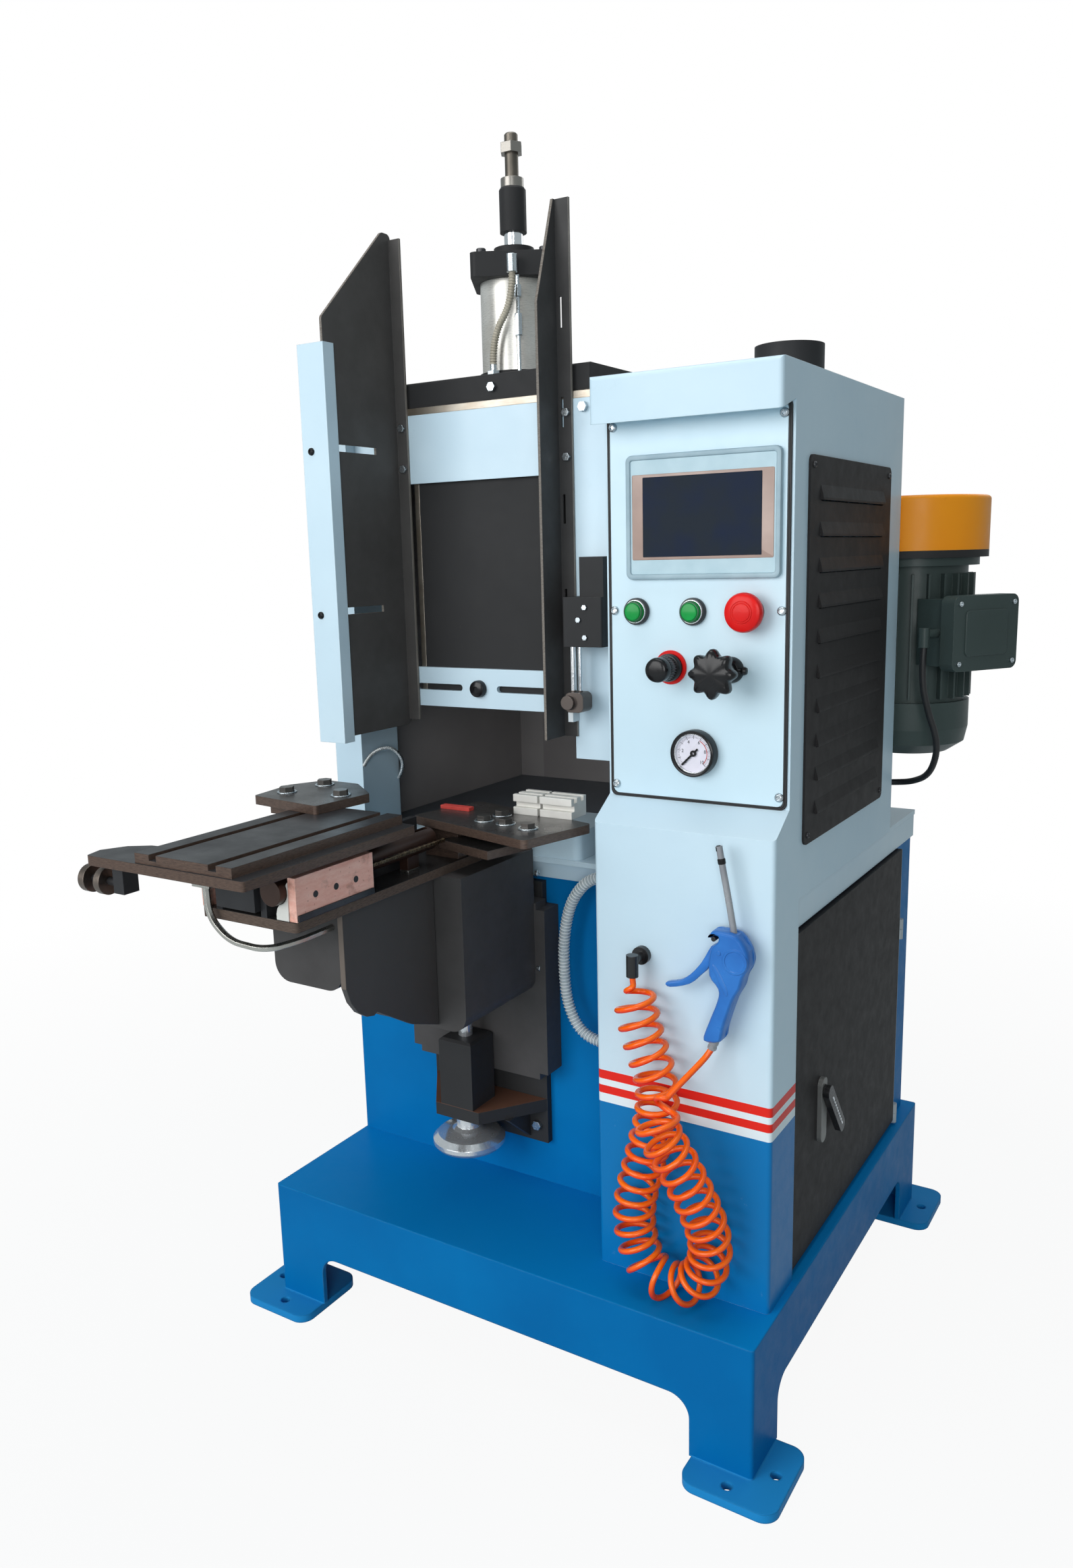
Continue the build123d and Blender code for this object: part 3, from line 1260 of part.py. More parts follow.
coil_stop = guide.length - 82
total = int(guide.length / step)
for i in range(total + 1):
    s = min(i * step, guide.length)
    centre = guide.position_at(s, position_mode=PositionMode.LENGTH)
    along = guide.tangent_at(s, position_mode=PositionMode.LENGTH)
    normal = (normal - along * normal.dot(along)).normalized()
    bend = (along - last).length / step
    last = along
    pitch = max(coil_pitch, coil_gap / max(0.3, 1 - bend * (coil_radius + coil_tube / 2)))
    if coil_start < s < coil_stop:
        phase += 2 * math.pi * step / pitch
    marks.append((centre, along, normal, phase))


def spread(s):
    t = min(max((s - coil_start) / coil_grow, 0), 1, max((coil_stop - s) / coil_grow, 0))
    return coil_radius * t * t * (3 - 2 * t)


def coil_point(s):
    i = min(int(s / step), total - 1)
    t = s / step - i
    a = marks[i]
    b = marks[i + 1]
    centre = a[0] + (b[0] - a[0]) * t
    across = (a[2] + (b[2] - a[2]) * t).normalized()
    along = (a[1] + (b[1] - a[1]) * t).normalized()
    angle = a[3] + (b[3] - a[3]) * t
    return centre + (across * math.cos(angle) + along.cross(across) * math.sin(angle)) * spread(s)


def coil_tangent(s):
    low_s = max(s - 0.02, 0)
    high_s = min(s + 0.02, total * step - 0.001)
    return (coil_point(high_s) - coil_point(low_s)).normalized()


samples = [0.0]
turn_at = math.pi / 2
while samples[-1] < total * step - 30:
    s = samples[-1]
    start_phase = marks[min(int(s), total)][3]
    while s < total * step - 12:
        s += step / 4
        i = min(int(s / step), total - 1)
        here = marks[i][3] + (marks[i + 1][3] - marks[i][3]) * (s / step - i)
        quick = s < coil_start + 1.5 * coil_grow or s > coil_stop - 1.5 * coil_grow
        if here - start_phase >= (turn_at if quick else 2 * turn_at) or s - samples[-1] > 24:
            break
    samples.append(s)
samples.append(total * step - 0.001)


def biarc(p0, t0, p1, t1):
    chord = p1 - p0
    both = t0 + t1
    a = both.dot(both) - 4
    b = -2 * chord.dot(both)
    c = chord.dot(chord)
    if chord.normalized().dot(t0) > 0.99999 and chord.normalized().dot(t1) > 0.99999:
        return [Edge.make_line(p0, p1)]
    reach = -c / b if abs(a) < 1e-6 else (-b - math.sqrt(b * b - 4 * a * c)) / (2 * a)
    mid = (p0 + t0 * reach + p1 - t1 * reach) / 2
    out = []
    for start, way, stop in ((p0, t0, mid), (mid, (p1 - t1 * reach - p0 - t0 * reach).normalized(), p1)):
        straight = (stop - start).normalized().dot(way) > 0.999999
        out.append(Edge.make_line(start, stop) if straight else Edge.make_tangent_arc(start, way, stop))
    return out


points = [coil_point(s) for s in samples]
ways_at = [coil_tangent(s) for s in samples]
ways_at[0] = Vector(0, 0, -1)
ways_at[-1] = up
edges = [Edge.make_line(points[0] + Vector(0, 0, coil_tube), points[0])]
for i in range(len(points) - 1):
    edges += biarc(points[i], ways_at[i], points[i + 1], ways_at[i + 1])
edges.append(Edge.make_line(points[-1], points[-1] + up * coil_tube))
path = Wire(edges)
section = Plane(edges[0] @ 0, z_dir=(0, 0, -1)) * RegularPolygon(coil_tube / 2, 4)
hose = sweep(section, path=path, clean=False)
dot_step = 2.0
apart = int(coil_radius / dot_step)
dots = [tuple(path.position_at(dot_step * i, position_mode=PositionMode.LENGTH))
        for i in range(int(path.length / dot_step))]
nearest = min(math.dist(dots[i], dots[j]) for i in range(len(dots)) for j in range(i + apart, len(dots)))
print("recoil hose turns", round(phase / (2 * math.pi), 1), "arcs", len(edges), "length",
      round(path.length),
      "least gap", round(nearest - coil_tube, 2))
save("recoil_hose", hose)
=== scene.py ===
import math

import bmesh
import bpy
from mathutils import Matrix, Vector


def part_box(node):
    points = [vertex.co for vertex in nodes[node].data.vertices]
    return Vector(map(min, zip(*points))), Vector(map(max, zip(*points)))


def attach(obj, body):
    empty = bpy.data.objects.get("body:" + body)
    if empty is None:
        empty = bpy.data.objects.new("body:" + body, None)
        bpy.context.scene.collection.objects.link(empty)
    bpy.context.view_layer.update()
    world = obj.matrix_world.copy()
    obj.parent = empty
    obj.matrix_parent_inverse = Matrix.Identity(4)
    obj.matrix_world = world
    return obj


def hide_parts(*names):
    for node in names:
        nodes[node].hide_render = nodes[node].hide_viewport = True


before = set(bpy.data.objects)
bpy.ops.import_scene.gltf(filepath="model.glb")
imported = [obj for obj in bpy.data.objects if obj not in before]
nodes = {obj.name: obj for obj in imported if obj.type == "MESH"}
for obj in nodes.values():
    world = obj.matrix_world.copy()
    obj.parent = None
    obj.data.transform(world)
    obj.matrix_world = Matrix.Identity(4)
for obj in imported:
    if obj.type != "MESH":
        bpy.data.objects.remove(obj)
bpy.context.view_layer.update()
scene = bpy.context.scene
print("frame loaded:", len(nodes), "nodes")

origin = (405, 387.5, 0)  # the frame's origin in millimetres from the base's left front corner
frontWay, upWay, rightWay = Vector((0, -1, 0)), Vector((0, 0, 1)), Vector((1, 0, 0))


def spot(x, y, z):  # millimetres from the base's left front corner to frame metres
    return Vector(((x - origin[0]) / 1000, (y - origin[1]) / 1000, z / 1000))


# camera, solved from the photograph's edges
cameraPlan = {"place": (0.8805, -1.6143, 1.1735), "yaw": 32.228, "pitch": -10.978, "roll": -1.453, "lens": 26.872}
yaw, pitch, roll = (math.radians(cameraPlan[k]) for k in ("yaw", "pitch", "roll"))
ahead = Vector((-math.sin(yaw) * math.cos(pitch), math.cos(yaw) * math.cos(pitch), math.sin(pitch)))
level = Vector((math.cos(yaw), math.sin(yaw), 0))
above = level.cross(ahead)
right = level * math.cos(roll) + above * math.sin(roll)
top = above * math.cos(roll) - level * math.sin(roll)
cameraData = bpy.data.cameras.new("photoCamera")
cameraData.sensor_fit = "AUTO"
cameraData.sensor_width = 36
cameraData.lens = cameraPlan["lens"]
camera = bpy.data.objects.new("photoCamera", cameraData)
scene.collection.objects.link(camera)
camera.matrix_world = Matrix.Translation(cameraPlan["place"]) @ Matrix((right, top, -ahead)).transposed().to_4x4()
scene.camera = camera


# small node helpers
def tone(red, green, blue):  # screen colour, 0 to 255, to linear
    shares = (c / 255 for c in (red, green, blue))
    return tuple(c / 12.92 if c <= 10 / 255 else ((c + 0.055) / 1.055) ** 2.4 for c in shares) + (1,)


def dimmer(colour, share):
    return tuple(c * share for c in colour[:3]) + (1,)


def feed(tree, socket, value):
    if isinstance(value, bpy.types.NodeSocket):
        tree.links.new(value, socket)
    else:
        socket.default_value = value


def put(tree, kind, inputs=None, **settings):
    node = tree.nodes.new(kind)
    for key, value in settings.items():
        setattr(node, key, value)
    for key, value in (inputs or {}).items():
        feed(tree, node.inputs[key], value)
    return node


def sums(tree, kind, first, second=None):
    node = put(tree, "ShaderNodeMath", {0: first}, operation=kind)
    if second is not None:
        feed(tree, node.inputs[1], second)
    return node.outputs[0]


def between(tree, share, first, second):  # mixes colours
    return put(tree, "ShaderNodeMix", {"Factor": share, 6: first, 7: second}, data_type="RGBA").outputs[2]


def blended(tree, share, first, second):  # mixes numbers
    return put(tree, "ShaderNodeMix", {"Factor": share, 2: first, 3: second}, data_type="FLOAT").outputs[0]


def spanned(tree, value, low, high, newLow, newHigh):
    ends = {"From Min": low, "From Max": high, "To Min": newLow, "To Max": newHigh}
    return put(tree, "ShaderNodeMapRange", {"Value": value, **ends}).outputs[0]


def noise(tree, place, scale, detail=4.0, roughness=0.5):
    sizes = {"Scale": scale, "Detail": detail, "Roughness": roughness}
    return put(tree, "ShaderNodeTexNoise", {"Vector": place, **sizes}).outputs[0]


def axisOf(tree, vector, axis="Z"):
    return put(tree, "ShaderNodeSeparateXYZ", {"Vector": vector}).outputs[axis]


def clouded(tree, cloud, first, second, low=0.35, high=0.65):  # two colours drifting into each other
    return between(tree, spanned(tree, cloud, low, high, 0, 1), first, second)


def begin(name):
    mat = bpy.data.materials.new(name)
    mat.use_nodes = True
    tree = mat.node_tree
    return mat, tree, tree.nodes["Principled BSDF"]


def objectPlace(tree, stretch=(1, 1, 1)):
    place = put(tree, "ShaderNodeTexCoord").outputs["Object"]
    if stretch == (1, 1, 1):
        return place
    return put(tree, "ShaderNodeMapping", {"Vector": place, "Scale": stretch}).outputs[0]


def edgeOf(tree, radius):
    # how far the rounded normal leans from the face, and that normal
    soft = put(tree, "ShaderNodeBevel", {"Radius": radius}, samples=4).outputs[0]
    flat = put(tree, "ShaderNodeNewGeometry").outputs["Normal"]
    lean = put(tree, "ShaderNodeVectorMath", {0: soft, 1: flat}, operation="DOT_PRODUCT").outputs["Value"]
    return spanned(tree, lean, 0.985, 0.8, 0, 1), soft


def grainBump(tree, shader, height, depth, strength=1.0, soft=None):
    bump = put(tree, "ShaderNodeBump", {"Height": height, "Distance": depth, "Strength": strength})
    if soft is not None:
        tree.links.new(soft, bump.inputs["Normal"])
    tree.links.new(bump.outputs[0], shader.inputs["Normal"])


sockets = {"coat": "Coat Weight", "coatRough": "Coat Roughness", "shine": "Specular IOR Level", "rough": "Roughness",
           "clear": "Transmission Weight", "bend": "IOR"}


def setOn(shader, **values):  # numbers that are the same all over the surface
    for label, value in values.items():
        shader.inputs[sockets[label]].default_value = value


# looks: colours are written as on screen, boxes in part millimetres
anywhere = (None, None)


def span(x=anywhere, y=anywhere, z=anywhere):  # a box's low and high corners, open where None
    return tuple(zip(x, y, z))


def zone(colour, x=anywhere, y=anywhere, z=anywhere, dim=0.8, **more):  # a stretch of another finish on the same solid
    return {"colour": colour, "box": span(x, y, z), "dim": dim, **more}


def surface(colour, shade, rough, *zones, **more):
    return {"colour": colour, "shade": shade, "rough": rough, "zones": zones, **more}


def zoned(base, *zones, **more):
    return {**base, "zones": zones, **more}


def inked(look):
    # screen colours made linear, those of zones and bands too
    inks = ("colour", "shade", "scuffed", "edge", "raw", "rawShade", "under")
    done = {key: tone(*value) if key in inks else value for key, value in look.items()}
    done["zones"] = [inked(stretch) for stretch in look.get("zones", ())]
    done["bands"] = [(z, tone(*colour)) for z, colour in look.get("bands", ())]
    return done


def inZone(tree, place, low, high):
    # one inside the box
    axes = put(tree, "ShaderNodeSeparateXYZ", {"Vector": place}).outputs
    share = None
    for axis, shift, least, most in zip("XYZ", origin, low, high):
        for limit, kind in ((least, "GREATER_THAN"), (most, "LESS_THAN")):
            if limit is not None:
                test = sums(tree, kind, axes[axis], (limit - shift) / 1000)
                share = test if share is None else sums(tree, "MULTIPLY", share, test)
    return share


# how edges are painted lighter: partly wear, partly painted highlight
edgePlan = {"round": 0.0012, "worn": 0.55, "patches": (55.0, 5.0, 0.65), "least": 0.15, "lighter": 1.35}


def wearAndZones(tree, shader, place, cloud, look, colour, rough, metal):
    # edges painted lighter in patches, partly wear and partly painted highlight, then any zones of another finish
    look = {**edgePlan, **look}
    edge, soft = edgeOf(tree, look["round"])
    patchy = spanned(tree, noise(tree, place, *look["patches"]), 0.42, 0.6, look["least"], look["worn"])
    # painted highlight and wear: a lighter colour on the rounded edges
    rubbedAndHighlit = look.get("edge", dimmer(look["colour"], look["lighter"]))
    colour = between(tree, sums(tree, "MULTIPLY", edge, patchy), colour, rubbedAndHighlit)
    for stretch in look["zones"]:
        share = inZone(tree, place, *stretch["box"])
        spread = clouded(tree, cloud, stretch["colour"], dimmer(stretch["colour"], stretch["dim"]))
        colour = between(tree, share, colour, spread)
        if "metal" in stretch:
            metal = blended(tree, share, metal, stretch["metal"])
        if "rough" in stretch:
            rough = blended(tree, share, rough, stretch["rough"])
    for label, value in (("Base Color", colour), ("Roughness", rough), ("Metallic", metal)):
        feed(tree, shader.inputs[label], value)
    return soft


def bandColour(tree, place, colour, bands):
    # painted stripes, each from its height in metres up to the next; they end at the last height
    height = axisOf(tree, place)
    low, high = bands[0][0], bands[-1][0]
    ramp = put(tree, "ShaderNodeValToRGB", {"Fac": spanned(tree, height, low, high, 0, 1)})
    ramp.color_ramp.interpolation = "CONSTANT"
    steps = ramp.color_ramp.elements
    for i, (z, shade) in enumerate(bands[:-1]):
        step = steps[0] if i == 0 else steps.new((z - low) / (high - low))
        step.color = shade
    for extra in [s for s in steps if s.position > 0.999]:
        steps.remove(extra)
    return between(tree, sums(tree, "LESS_THAN", height, high), colour, ramp.outputs[0])


paintPlan = {"cloud": 3.5, "peel": 420.0, "marks": (38.0, 6.0, 0.7), "scuff": 0.25, "coat": 0.15, "coatRough": 0.18,
             "shine": 0.5, "depth": 0.00006}


def paintFinish(name, look):
    # sprayed coat: slow clouds of shade, orange peel, and a few handling marks
    look = {**paintPlan, **look}
    mat, tree, shader = begin(name)
    place = objectPlace(tree)
    cloud = noise(tree, place, look["cloud"])
    peel = noise(tree, place, look["peel"], 2.0)
    marks = noise(tree, place, *look["marks"])
    colour = clouded(tree, cloud, look["colour"], look["shade"])
    if look["bands"]:
        colour = bandColour(tree, place, colour, look["bands"])
    colour = between(tree, spanned(tree, marks, 0.66, 0.78, 0, look["scuff"]), colour, look["scuffed"])
    rough = spanned(tree, marks, 0.3, 0.7, look["rough"] - 0.06, look["rough"] + 0.08)
    soft = wearAndZones(tree, shader, place, cloud, look, colour, rough, 0.0)
    setOn(shader, coat=look["coat"], coatRough=look["coatRough"], shine=look["shine"])
    grainBump(tree, shader, peel, look["depth"], soft=soft)
    return mat


metalPlan = {"stretch": (1, 1, 1), "lines": 300.0, "stain": 16.0, "metal": 1.0, "depth": 0.00002, "relief": 0.6,
             "smoothest": 0.02}


def metalFinish(name, look):
    # drawn or turned metal: fine lines along the stretch, soft stains
    look = {**metalPlan, **look}
    mat, tree, shader = begin(name)
    place = objectPlace(tree)
    lines = noise(tree, objectPlace(tree, look["stretch"]), look["lines"])
    stain = noise(tree, place, look["stain"], 5.0)
    colour = clouded(tree, stain, look["colour"], look["shade"], 0.4, 0.68)
    rough = spanned(tree, lines, 0.3, 0.7, max(look["rough"] - 0.08, look["smoothest"]), look["rough"] + 0.1)
    soft = wearAndZones(tree, shader, place, stain, look, colour, rough, look["metal"])
    grainBump(tree, shader, lines, look["depth"], look["relief"], soft)
    return mat


plasticPlan = {"spark": 1300.0, "cloud": 30.0, "round": 0.0006, "worn": 0.3, "coat": 0.0, "shine": 0.5, "depth": 0.00003}


def plasticFinish(name, look):
    # moulded plastic with a faint spark texture
    look = {**plasticPlan, **look}
    mat, tree, shader = begin(name)
    place = objectPlace(tree)
    spark = noise(tree, place, look["spark"], 2.0)
    cloud = noise(tree, place, look["cloud"], 3.0)
    colour = clouded(tree, cloud, look["colour"], look["shade"])
    if "under" in look:  # painted shade: the sides that face down are painted a deeper red
        rise = axisOf(tree, put(tree, "ShaderNodeTexCoord").outputs["Normal"])
        colour = between(tree, spanned(tree, rise, 0.45, -0.55, 0, 1), colour, look["under"])
    rough = spanned(tree, cloud, 0.3, 0.7, look["rough"] - 0.04, look["rough"] + 0.06)
    soft = wearAndZones(tree, shader, place, cloud, look, colour, rough, 0.0)
    setOn(shader, coat=look["coat"], shine=look["shine"])
    grainBump(tree, shader, spark, look["depth"], soft=soft)
    return mat


platePlan = {"mottle": (14.0, 6.0, 0.65), "grain": 360.0, "saw": 160.0, "sawStretch": (1, 1, 8), "metal": 0.0, "shine": 0.4,
             "depth": 0.00004}


def plateFinish(name, look):
    # blackened plate with raw sawn edges; the edge is picked by the face's own direction
    look = {**platePlan, **look}
    mat, tree, shader = begin(name)
    coords = put(tree, "ShaderNodeTexCoord").outputs
    place = coords["Object"]
    facing = axisOf(tree, coords["Normal"], look["flat"])
    sawn = sums(tree, "LESS_THAN", sums(tree, "ABSOLUTE", facing), 0.5)
    if "within" in look:
        sawn = sums(tree, "MULTIPLY", sawn, inZone(tree, place, *look["within"]))
    cloud = noise(tree, place, *look["mottle"])
    grain = noise(tree, place, look["grain"], 3.0)
    saw = noise(tree, objectPlace(tree, look["sawStretch"]), look["saw"], 3.0)
    skin = clouded(tree, cloud, look["colour"], look["shade"], 0.35, 0.7)
    raw = clouded(tree, saw, look["raw"], look["rawShade"], 0.35, 0.7)
    rough = spanned(tree, cloud, 0.3, 0.7, look["rough"] - 0.08, look["rough"] + 0.1)
    soft = wearAndZones(tree, shader, place, cloud, look, between(tree, sawn, skin, raw), rough, look["metal"])
    setOn(shader, shine=look["shine"])
    grainBump(tree, shader, grain, look["depth"], soft=soft)
    return mat


finishes = {}


def coat(maker, looks):
    for name, look in looks.items():
        finishes[name] = maker(name, inked(look))


paleTone, blueTone, rawTone, boltTone = (204, 226, 238), (4, 114, 178), (136, 131, 125), (104, 101, 98)
bandPale, bandRed = (226, 238, 243), (226, 38, 26)
pale = surface(paleTone, (195, 219, 233), 0.36, scuffed=(178, 206, 219), edge=(226, 243, 249))
blue = surface(blueTone, (3, 102, 165), 0.4, scuffed=(50, 128, 184), edge=(78, 150, 202), shine=0.06, coat=0.0)
black = surface((54, 54, 55), (47, 47, 48), 0.46, scuffed=(72, 69, 66), scuff=0.3, edge=(96, 95, 93), worn=0.4,
                shine=0.1, coat=0.0)
flatBlack = {**black, "depth": 0.00002, "shine": 0.05}
kneeBlack = {"colour": (76, 74, 74), "shade": (69, 67, 67)}
coat(paintFinish, {
    "bluePaint": blue,
    "basePaint": zoned(
        blue, zone((6, 130, 200), z=(196.6, None), dim=0.95),  # deck: its top painted a lighter blue as painted light
        zone((34, 136, 200), z=(None, 14), dim=0.95), round=0.004),  # feet: painted a lighter blue as painted light
    "cabinetPaint": zoned(blue, zone((176, 184, 188), (788.5, None), metal=0.4)),  # hinges
    "palePaint": pale,
    "headPaint": zoned(  # painted shade: the throat's inside walls are painted grey, each wall its own grey
        pale, zone((148, 144, 144), (57, 548.6), (224, 754), rough=0.7),
        zone((164, 160, 160), (0.8, 58), (293, 754), rough=0.7),
        zone((134, 131, 131), (540, 548.6), (228, 754), rough=0.7)),
    # painted shade: the tray's part inside the throat is painted dark grey-blue
    "trayPaint": zoned(pale, zone((96, 104, 114), (None, 545), (300, None), (733, None), rough=0.5)),
    "panelPaint": surface((206, 230, 241), (199, 224, 237), 0.4, scuffed=(196, 218, 228), edge=(236, 246, 250)),
    "pillarPaint": {**pale, "shine": 0.2, "coat": 0.04, "bands": (
        (0.19, blueTone), (0.439, bandPale), (0.452, bandRed), (0.464, bandPale), (0.473, bandRed), (0.486, paleTone))},
    "blackPaint": black,
    # painted shade: a black of its own for the side-facing louvre plate, with faintly blue edges as painted highlight
    "sideShadeBlack": {**flatBlack, "colour": (54, 52, 52), "shade": (49, 47, 47), "edge": (70, 74, 80)},
    "doorPaint": zoned(
        flatBlack, zone((132, 132, 130), (798.5, None), (200, 360), metal=0.6),  # lever's plate
        zone((176, 182, 186), y=(667, None), metal=0.4),  # hinges
        # painted shade: the side-facing door gets a darker, warmer black of its own
        colour=(48, 46, 46), shade=(44, 42, 42)),
    "wayPaint": zoned(
        black, zone((112, 78, 62), y=(None, 209), z=(344.7, 345.3), rough=0.6, dim=0.7),  # bare shelf
        zone(paleTone, z=(737.1, None), dim=0.92)),  # press bed
    "sleevePaint": zoned(black, zone((150, 146, 140), z=(1709.2, None), metal=0.9, rough=0.3)),
    "gussetPaint": zoned(black, zone((112, 102, 95), (330, None), (None, -187.4), dim=0.7), **kneeBlack),
    "orangePaint": surface((255, 160, 28), (255, 148, 20), 0.4, scuffed=(190, 110, 16), edge=(252, 190, 84), shine=0.25,
                           coat=0.05),
    "motorPaint": surface((68, 80, 78), (58, 70, 68), 0.36, scuffed=(64, 78, 76), edge=(110, 124, 122), shine=0.2,
                          coat=0.05, peel=260.0, depth=0.0001),
})
brightTones = ((226, 228, 230), (206, 210, 214))
zincTones = ((196, 204, 208), (170, 178, 184))
coat(metalFinish, {
    "rawSteel": surface((176, 170, 160), (150, 138, 122), 0.36, stretch=(0.2, 0.2, 6)),
    "tubeSteel": surface((212, 211, 206), (190, 186, 178), 0.3, stretch=(0.3, 0.3, 8), metal=0.45),
    "feedBarrel": surface(
        (186, 184, 178), (160, 156, 148), 0.3,
        zone((66, 46, 38), (309, 346), z=(768, None), metal=0.5, rough=0.35), stretch=(1, 0.2, 1)),
    "studSteel": surface((120, 110, 102), (88, 78, 72), 0.36),
    "rodSteel": surface(
        (224, 226, 228), (206, 210, 214), 0.12, zone((112, 106, 98), z=(1700, None), rough=0.42, dim=0.6)),  # thread
    "darkSteel": surface((70, 70, 72), (50, 50, 52), 0.34, metal=0.8),
    "chrome": surface(*brightTones, 0.18, metal=0.75, relief=0.15),
    "pusherChrome": surface(
        *brightTones, 0.14, zone((92, 84, 80), z=(None, 988), metal=0.7, rough=0.36),  # clamp on the rods' ends
        zone((206, 214, 218), z=(None, 957.6), metal=0.1, rough=0.4), relief=0.15),  # plate under it
    "zincSteel": surface(*zincTones, 0.26),
    "fittingSteel": surface(*zincTones, 0.28, zone((28, 28, 30), y=(None, 77), metal=0.0, rough=0.25)),  # moulded elbow
    "milledAluminium": surface((232, 231, 226), (214, 212, 206), 0.4, edge=(246, 246, 244), stretch=(6, 0.4, 0.4),
                               metal=0.25),
    "castIron": surface((104, 104, 106), (84, 84, 86), 0.5, lines=200.0, metal=0.8),
    "brassLink": surface((128, 112, 90), (80, 66, 54), 0.4, stain=90.0),
})
coat(plasticFinish, {
    "greyPlastic": surface((166, 188, 198), (154, 177, 188), 0.4, edge=(196, 212, 220), shine=0.2),
    "gearPlastic": surface(
        (178, 182, 184), (164, 168, 171), 0.45,
        zone((208, 198, 164), (None, 555.7), metal=0.6, rough=0.4),  # mounting plate
        zone((66, 70, 76), (555.7, None), (None, 380), (440, None)),  # drive
        zone((28, 58, 50), (667.3, 667.7), (258.5, 349.5), (546.5, 607.5), rough=0.2),  # drive's display
        zone((46, 48, 52), (555.7, 616), (410, None), (470, None))),  # relays
    "blackPlastic": surface((24, 24, 26), (18, 18, 20), 0.2, edge=(70, 70, 72), shine=0.3),
    "redPlastic": surface((226, 30, 28), (212, 22, 22), 0.28, edge=(240, 96, 84), shine=0.15, coat=0.05),
    "greenPlastic": surface((20, 158, 72), (12, 140, 60), 0.24, edge=(96, 206, 140), shine=0.2, coat=0.1),
    "gunPlastic": surface((46, 118, 198), (36, 104, 184), 0.3, edge=(120, 178, 230), shine=0.3, coat=0.1),
    # painted shade: a deeper red on the hose's down-facing sides
    "orangeHose": surface((255, 116, 14), (255, 94, 4), 0.24, under=(236, 46, 0), edge=(255, 140, 50), shine=0.35,
                          coat=0.1, cloud=12.0),
    "blackRubber": surface((30, 30, 32), (23, 23, 25), 0.5, edge=(64, 64, 66)),
    "hoseSkin": surface((186, 180, 164), (160, 152, 136), 0.45),
    "bezelBand": surface((180, 206, 216), (170, 198, 209), 0.4),
    "warmFrame": surface((178, 152, 141), (168, 143, 133), 0.36),
    "dialWhite": surface((232, 230, 240), (222, 219, 232), 0.35),
    "dialInk": surface((40, 40, 46), (30, 30, 36), 0.5),
    "dialRed": surface((206, 84, 78), (190, 70, 66), 0.5),
    "darkGreen": surface((10, 92, 50), (8, 78, 42), 0.3),
    "gunGrey": surface((150, 152, 156), (130, 132, 138), 0.3),
    "hoseRing": surface((236, 240, 240), (218, 224, 226), 0.3),
})
guard = {"flat": "X", "within": span(y=(None, 217.6)), "raw": rawTone, "rawShade": (100, 90, 82), "shine": 0.12}
fixture = surface((66, 63, 62), (52, 50, 49), 0.3, flat="Z", raw=(100, 82, 72), rawShade=(74, 60, 54), metal=0.3)
coat(plateFinish, {
    # painted light: the guards' blacks are lighter than the other blacks, the left one most, to lift the shade on their
    # insides
    "leftGuard": surface((84, 82, 81), (76, 74, 73), 0.5, zone(rawTone, (160.4, None), dim=0.7), **guard),
    "rightGuard": surface((70, 69, 69), (62, 61, 61), 0.5, zone(rawTone, (446.4, None), dim=0.7), **guard),
    "tablePlate": surface((52, 52, 54), (42, 42, 44), 0.34, flat="Z", within=span(z=(829, None)), raw=(96, 78, 68),
                          rawShade=(70, 56, 50), metal=0.1, shine=0.2),
    "leftPlate": zoned(fixture, zone(boltTone, z=(865.4, None), metal=0.8, rough=0.3)),
    "rightPlate": zoned(fixture, zone(boltTone, z=(822.4, None), metal=0.8, rough=0.3)),
    "kneePaint": zoned(
        kneeBlack, zone((66, 65, 65), z=(764.6, None), metal=0.4, rough=0.22),  # bed's top
        rough=0.46, flat="Z", within=span(z=(752.5, 766)), raw=(98, 84, 75), rawShade=(74, 62, 56), shine=0.12),
})


def phenolicFinish():
    # pressed board with streaks and handling smudges
    mat, tree, shader = begin("phenolicBoard")
    place = objectPlace(tree)
    streak = noise(tree, objectPlace(tree, (1, 0.35, 1.6)), 70.0, 6.0, 0.7)
    speck = noise(tree, place, 260.0, 2.0)
    smudge = noise(tree, place, 34.0, 5.0, 0.62)
    colour = clouded(tree, streak, tone(248, 198, 182), tone(232, 162, 144), 0.35, 0.7)
    colour = between(tree, spanned(tree, smudge, 0.55, 0.72, 0, 0.75), colour, tone(146, 84, 66))
    colour = between(tree, spanned(tree, speck, 0.66, 0.74, 0, 0.5), colour, tone(150, 78, 62))
    edge, soft = edgeOf(tree, 0.001)
    # edges painted lighter, partly wear and partly painted highlight
    colour = between(tree, sums(tree, "MULTIPLY", edge, 0.5), colour, tone(248, 214, 200))
    redBar = clouded(tree, streak, tone(206, 72, 64), tone(180, 56, 50), 0.35, 0.7)  # bar on the right fixture
    colour = between(tree, inZone(tree, place, *span(z=(820, None))), colour, redBar)
    feed(tree, shader.inputs["Base Color"], colour)
    feed(tree, shader.inputs["Roughness"], spanned(tree, streak, 0.3, 0.7, 0.42, 0.6))
    grainBump(tree, shader, speck, 0.00006, soft=soft)
    return mat


def glassFinish(name, plan):
    # wiped glass or clear hose: faint smears in colour and gloss
    mat, tree, shader = begin(name)
    smear = noise(tree, objectPlace(tree), *plan["smear"])
    near, far = (tone(*colour) for colour in plan["colours"])
    feed(tree, shader.inputs["Base Color"], clouded(tree, smear, near, far, *plan["drift"]))
    feed(tree, shader.inputs["Roughness"], spanned(tree, smear, 0.3, 0.7, *plan["rough"]))
    setOn(shader, **plan["set"])
    return mat


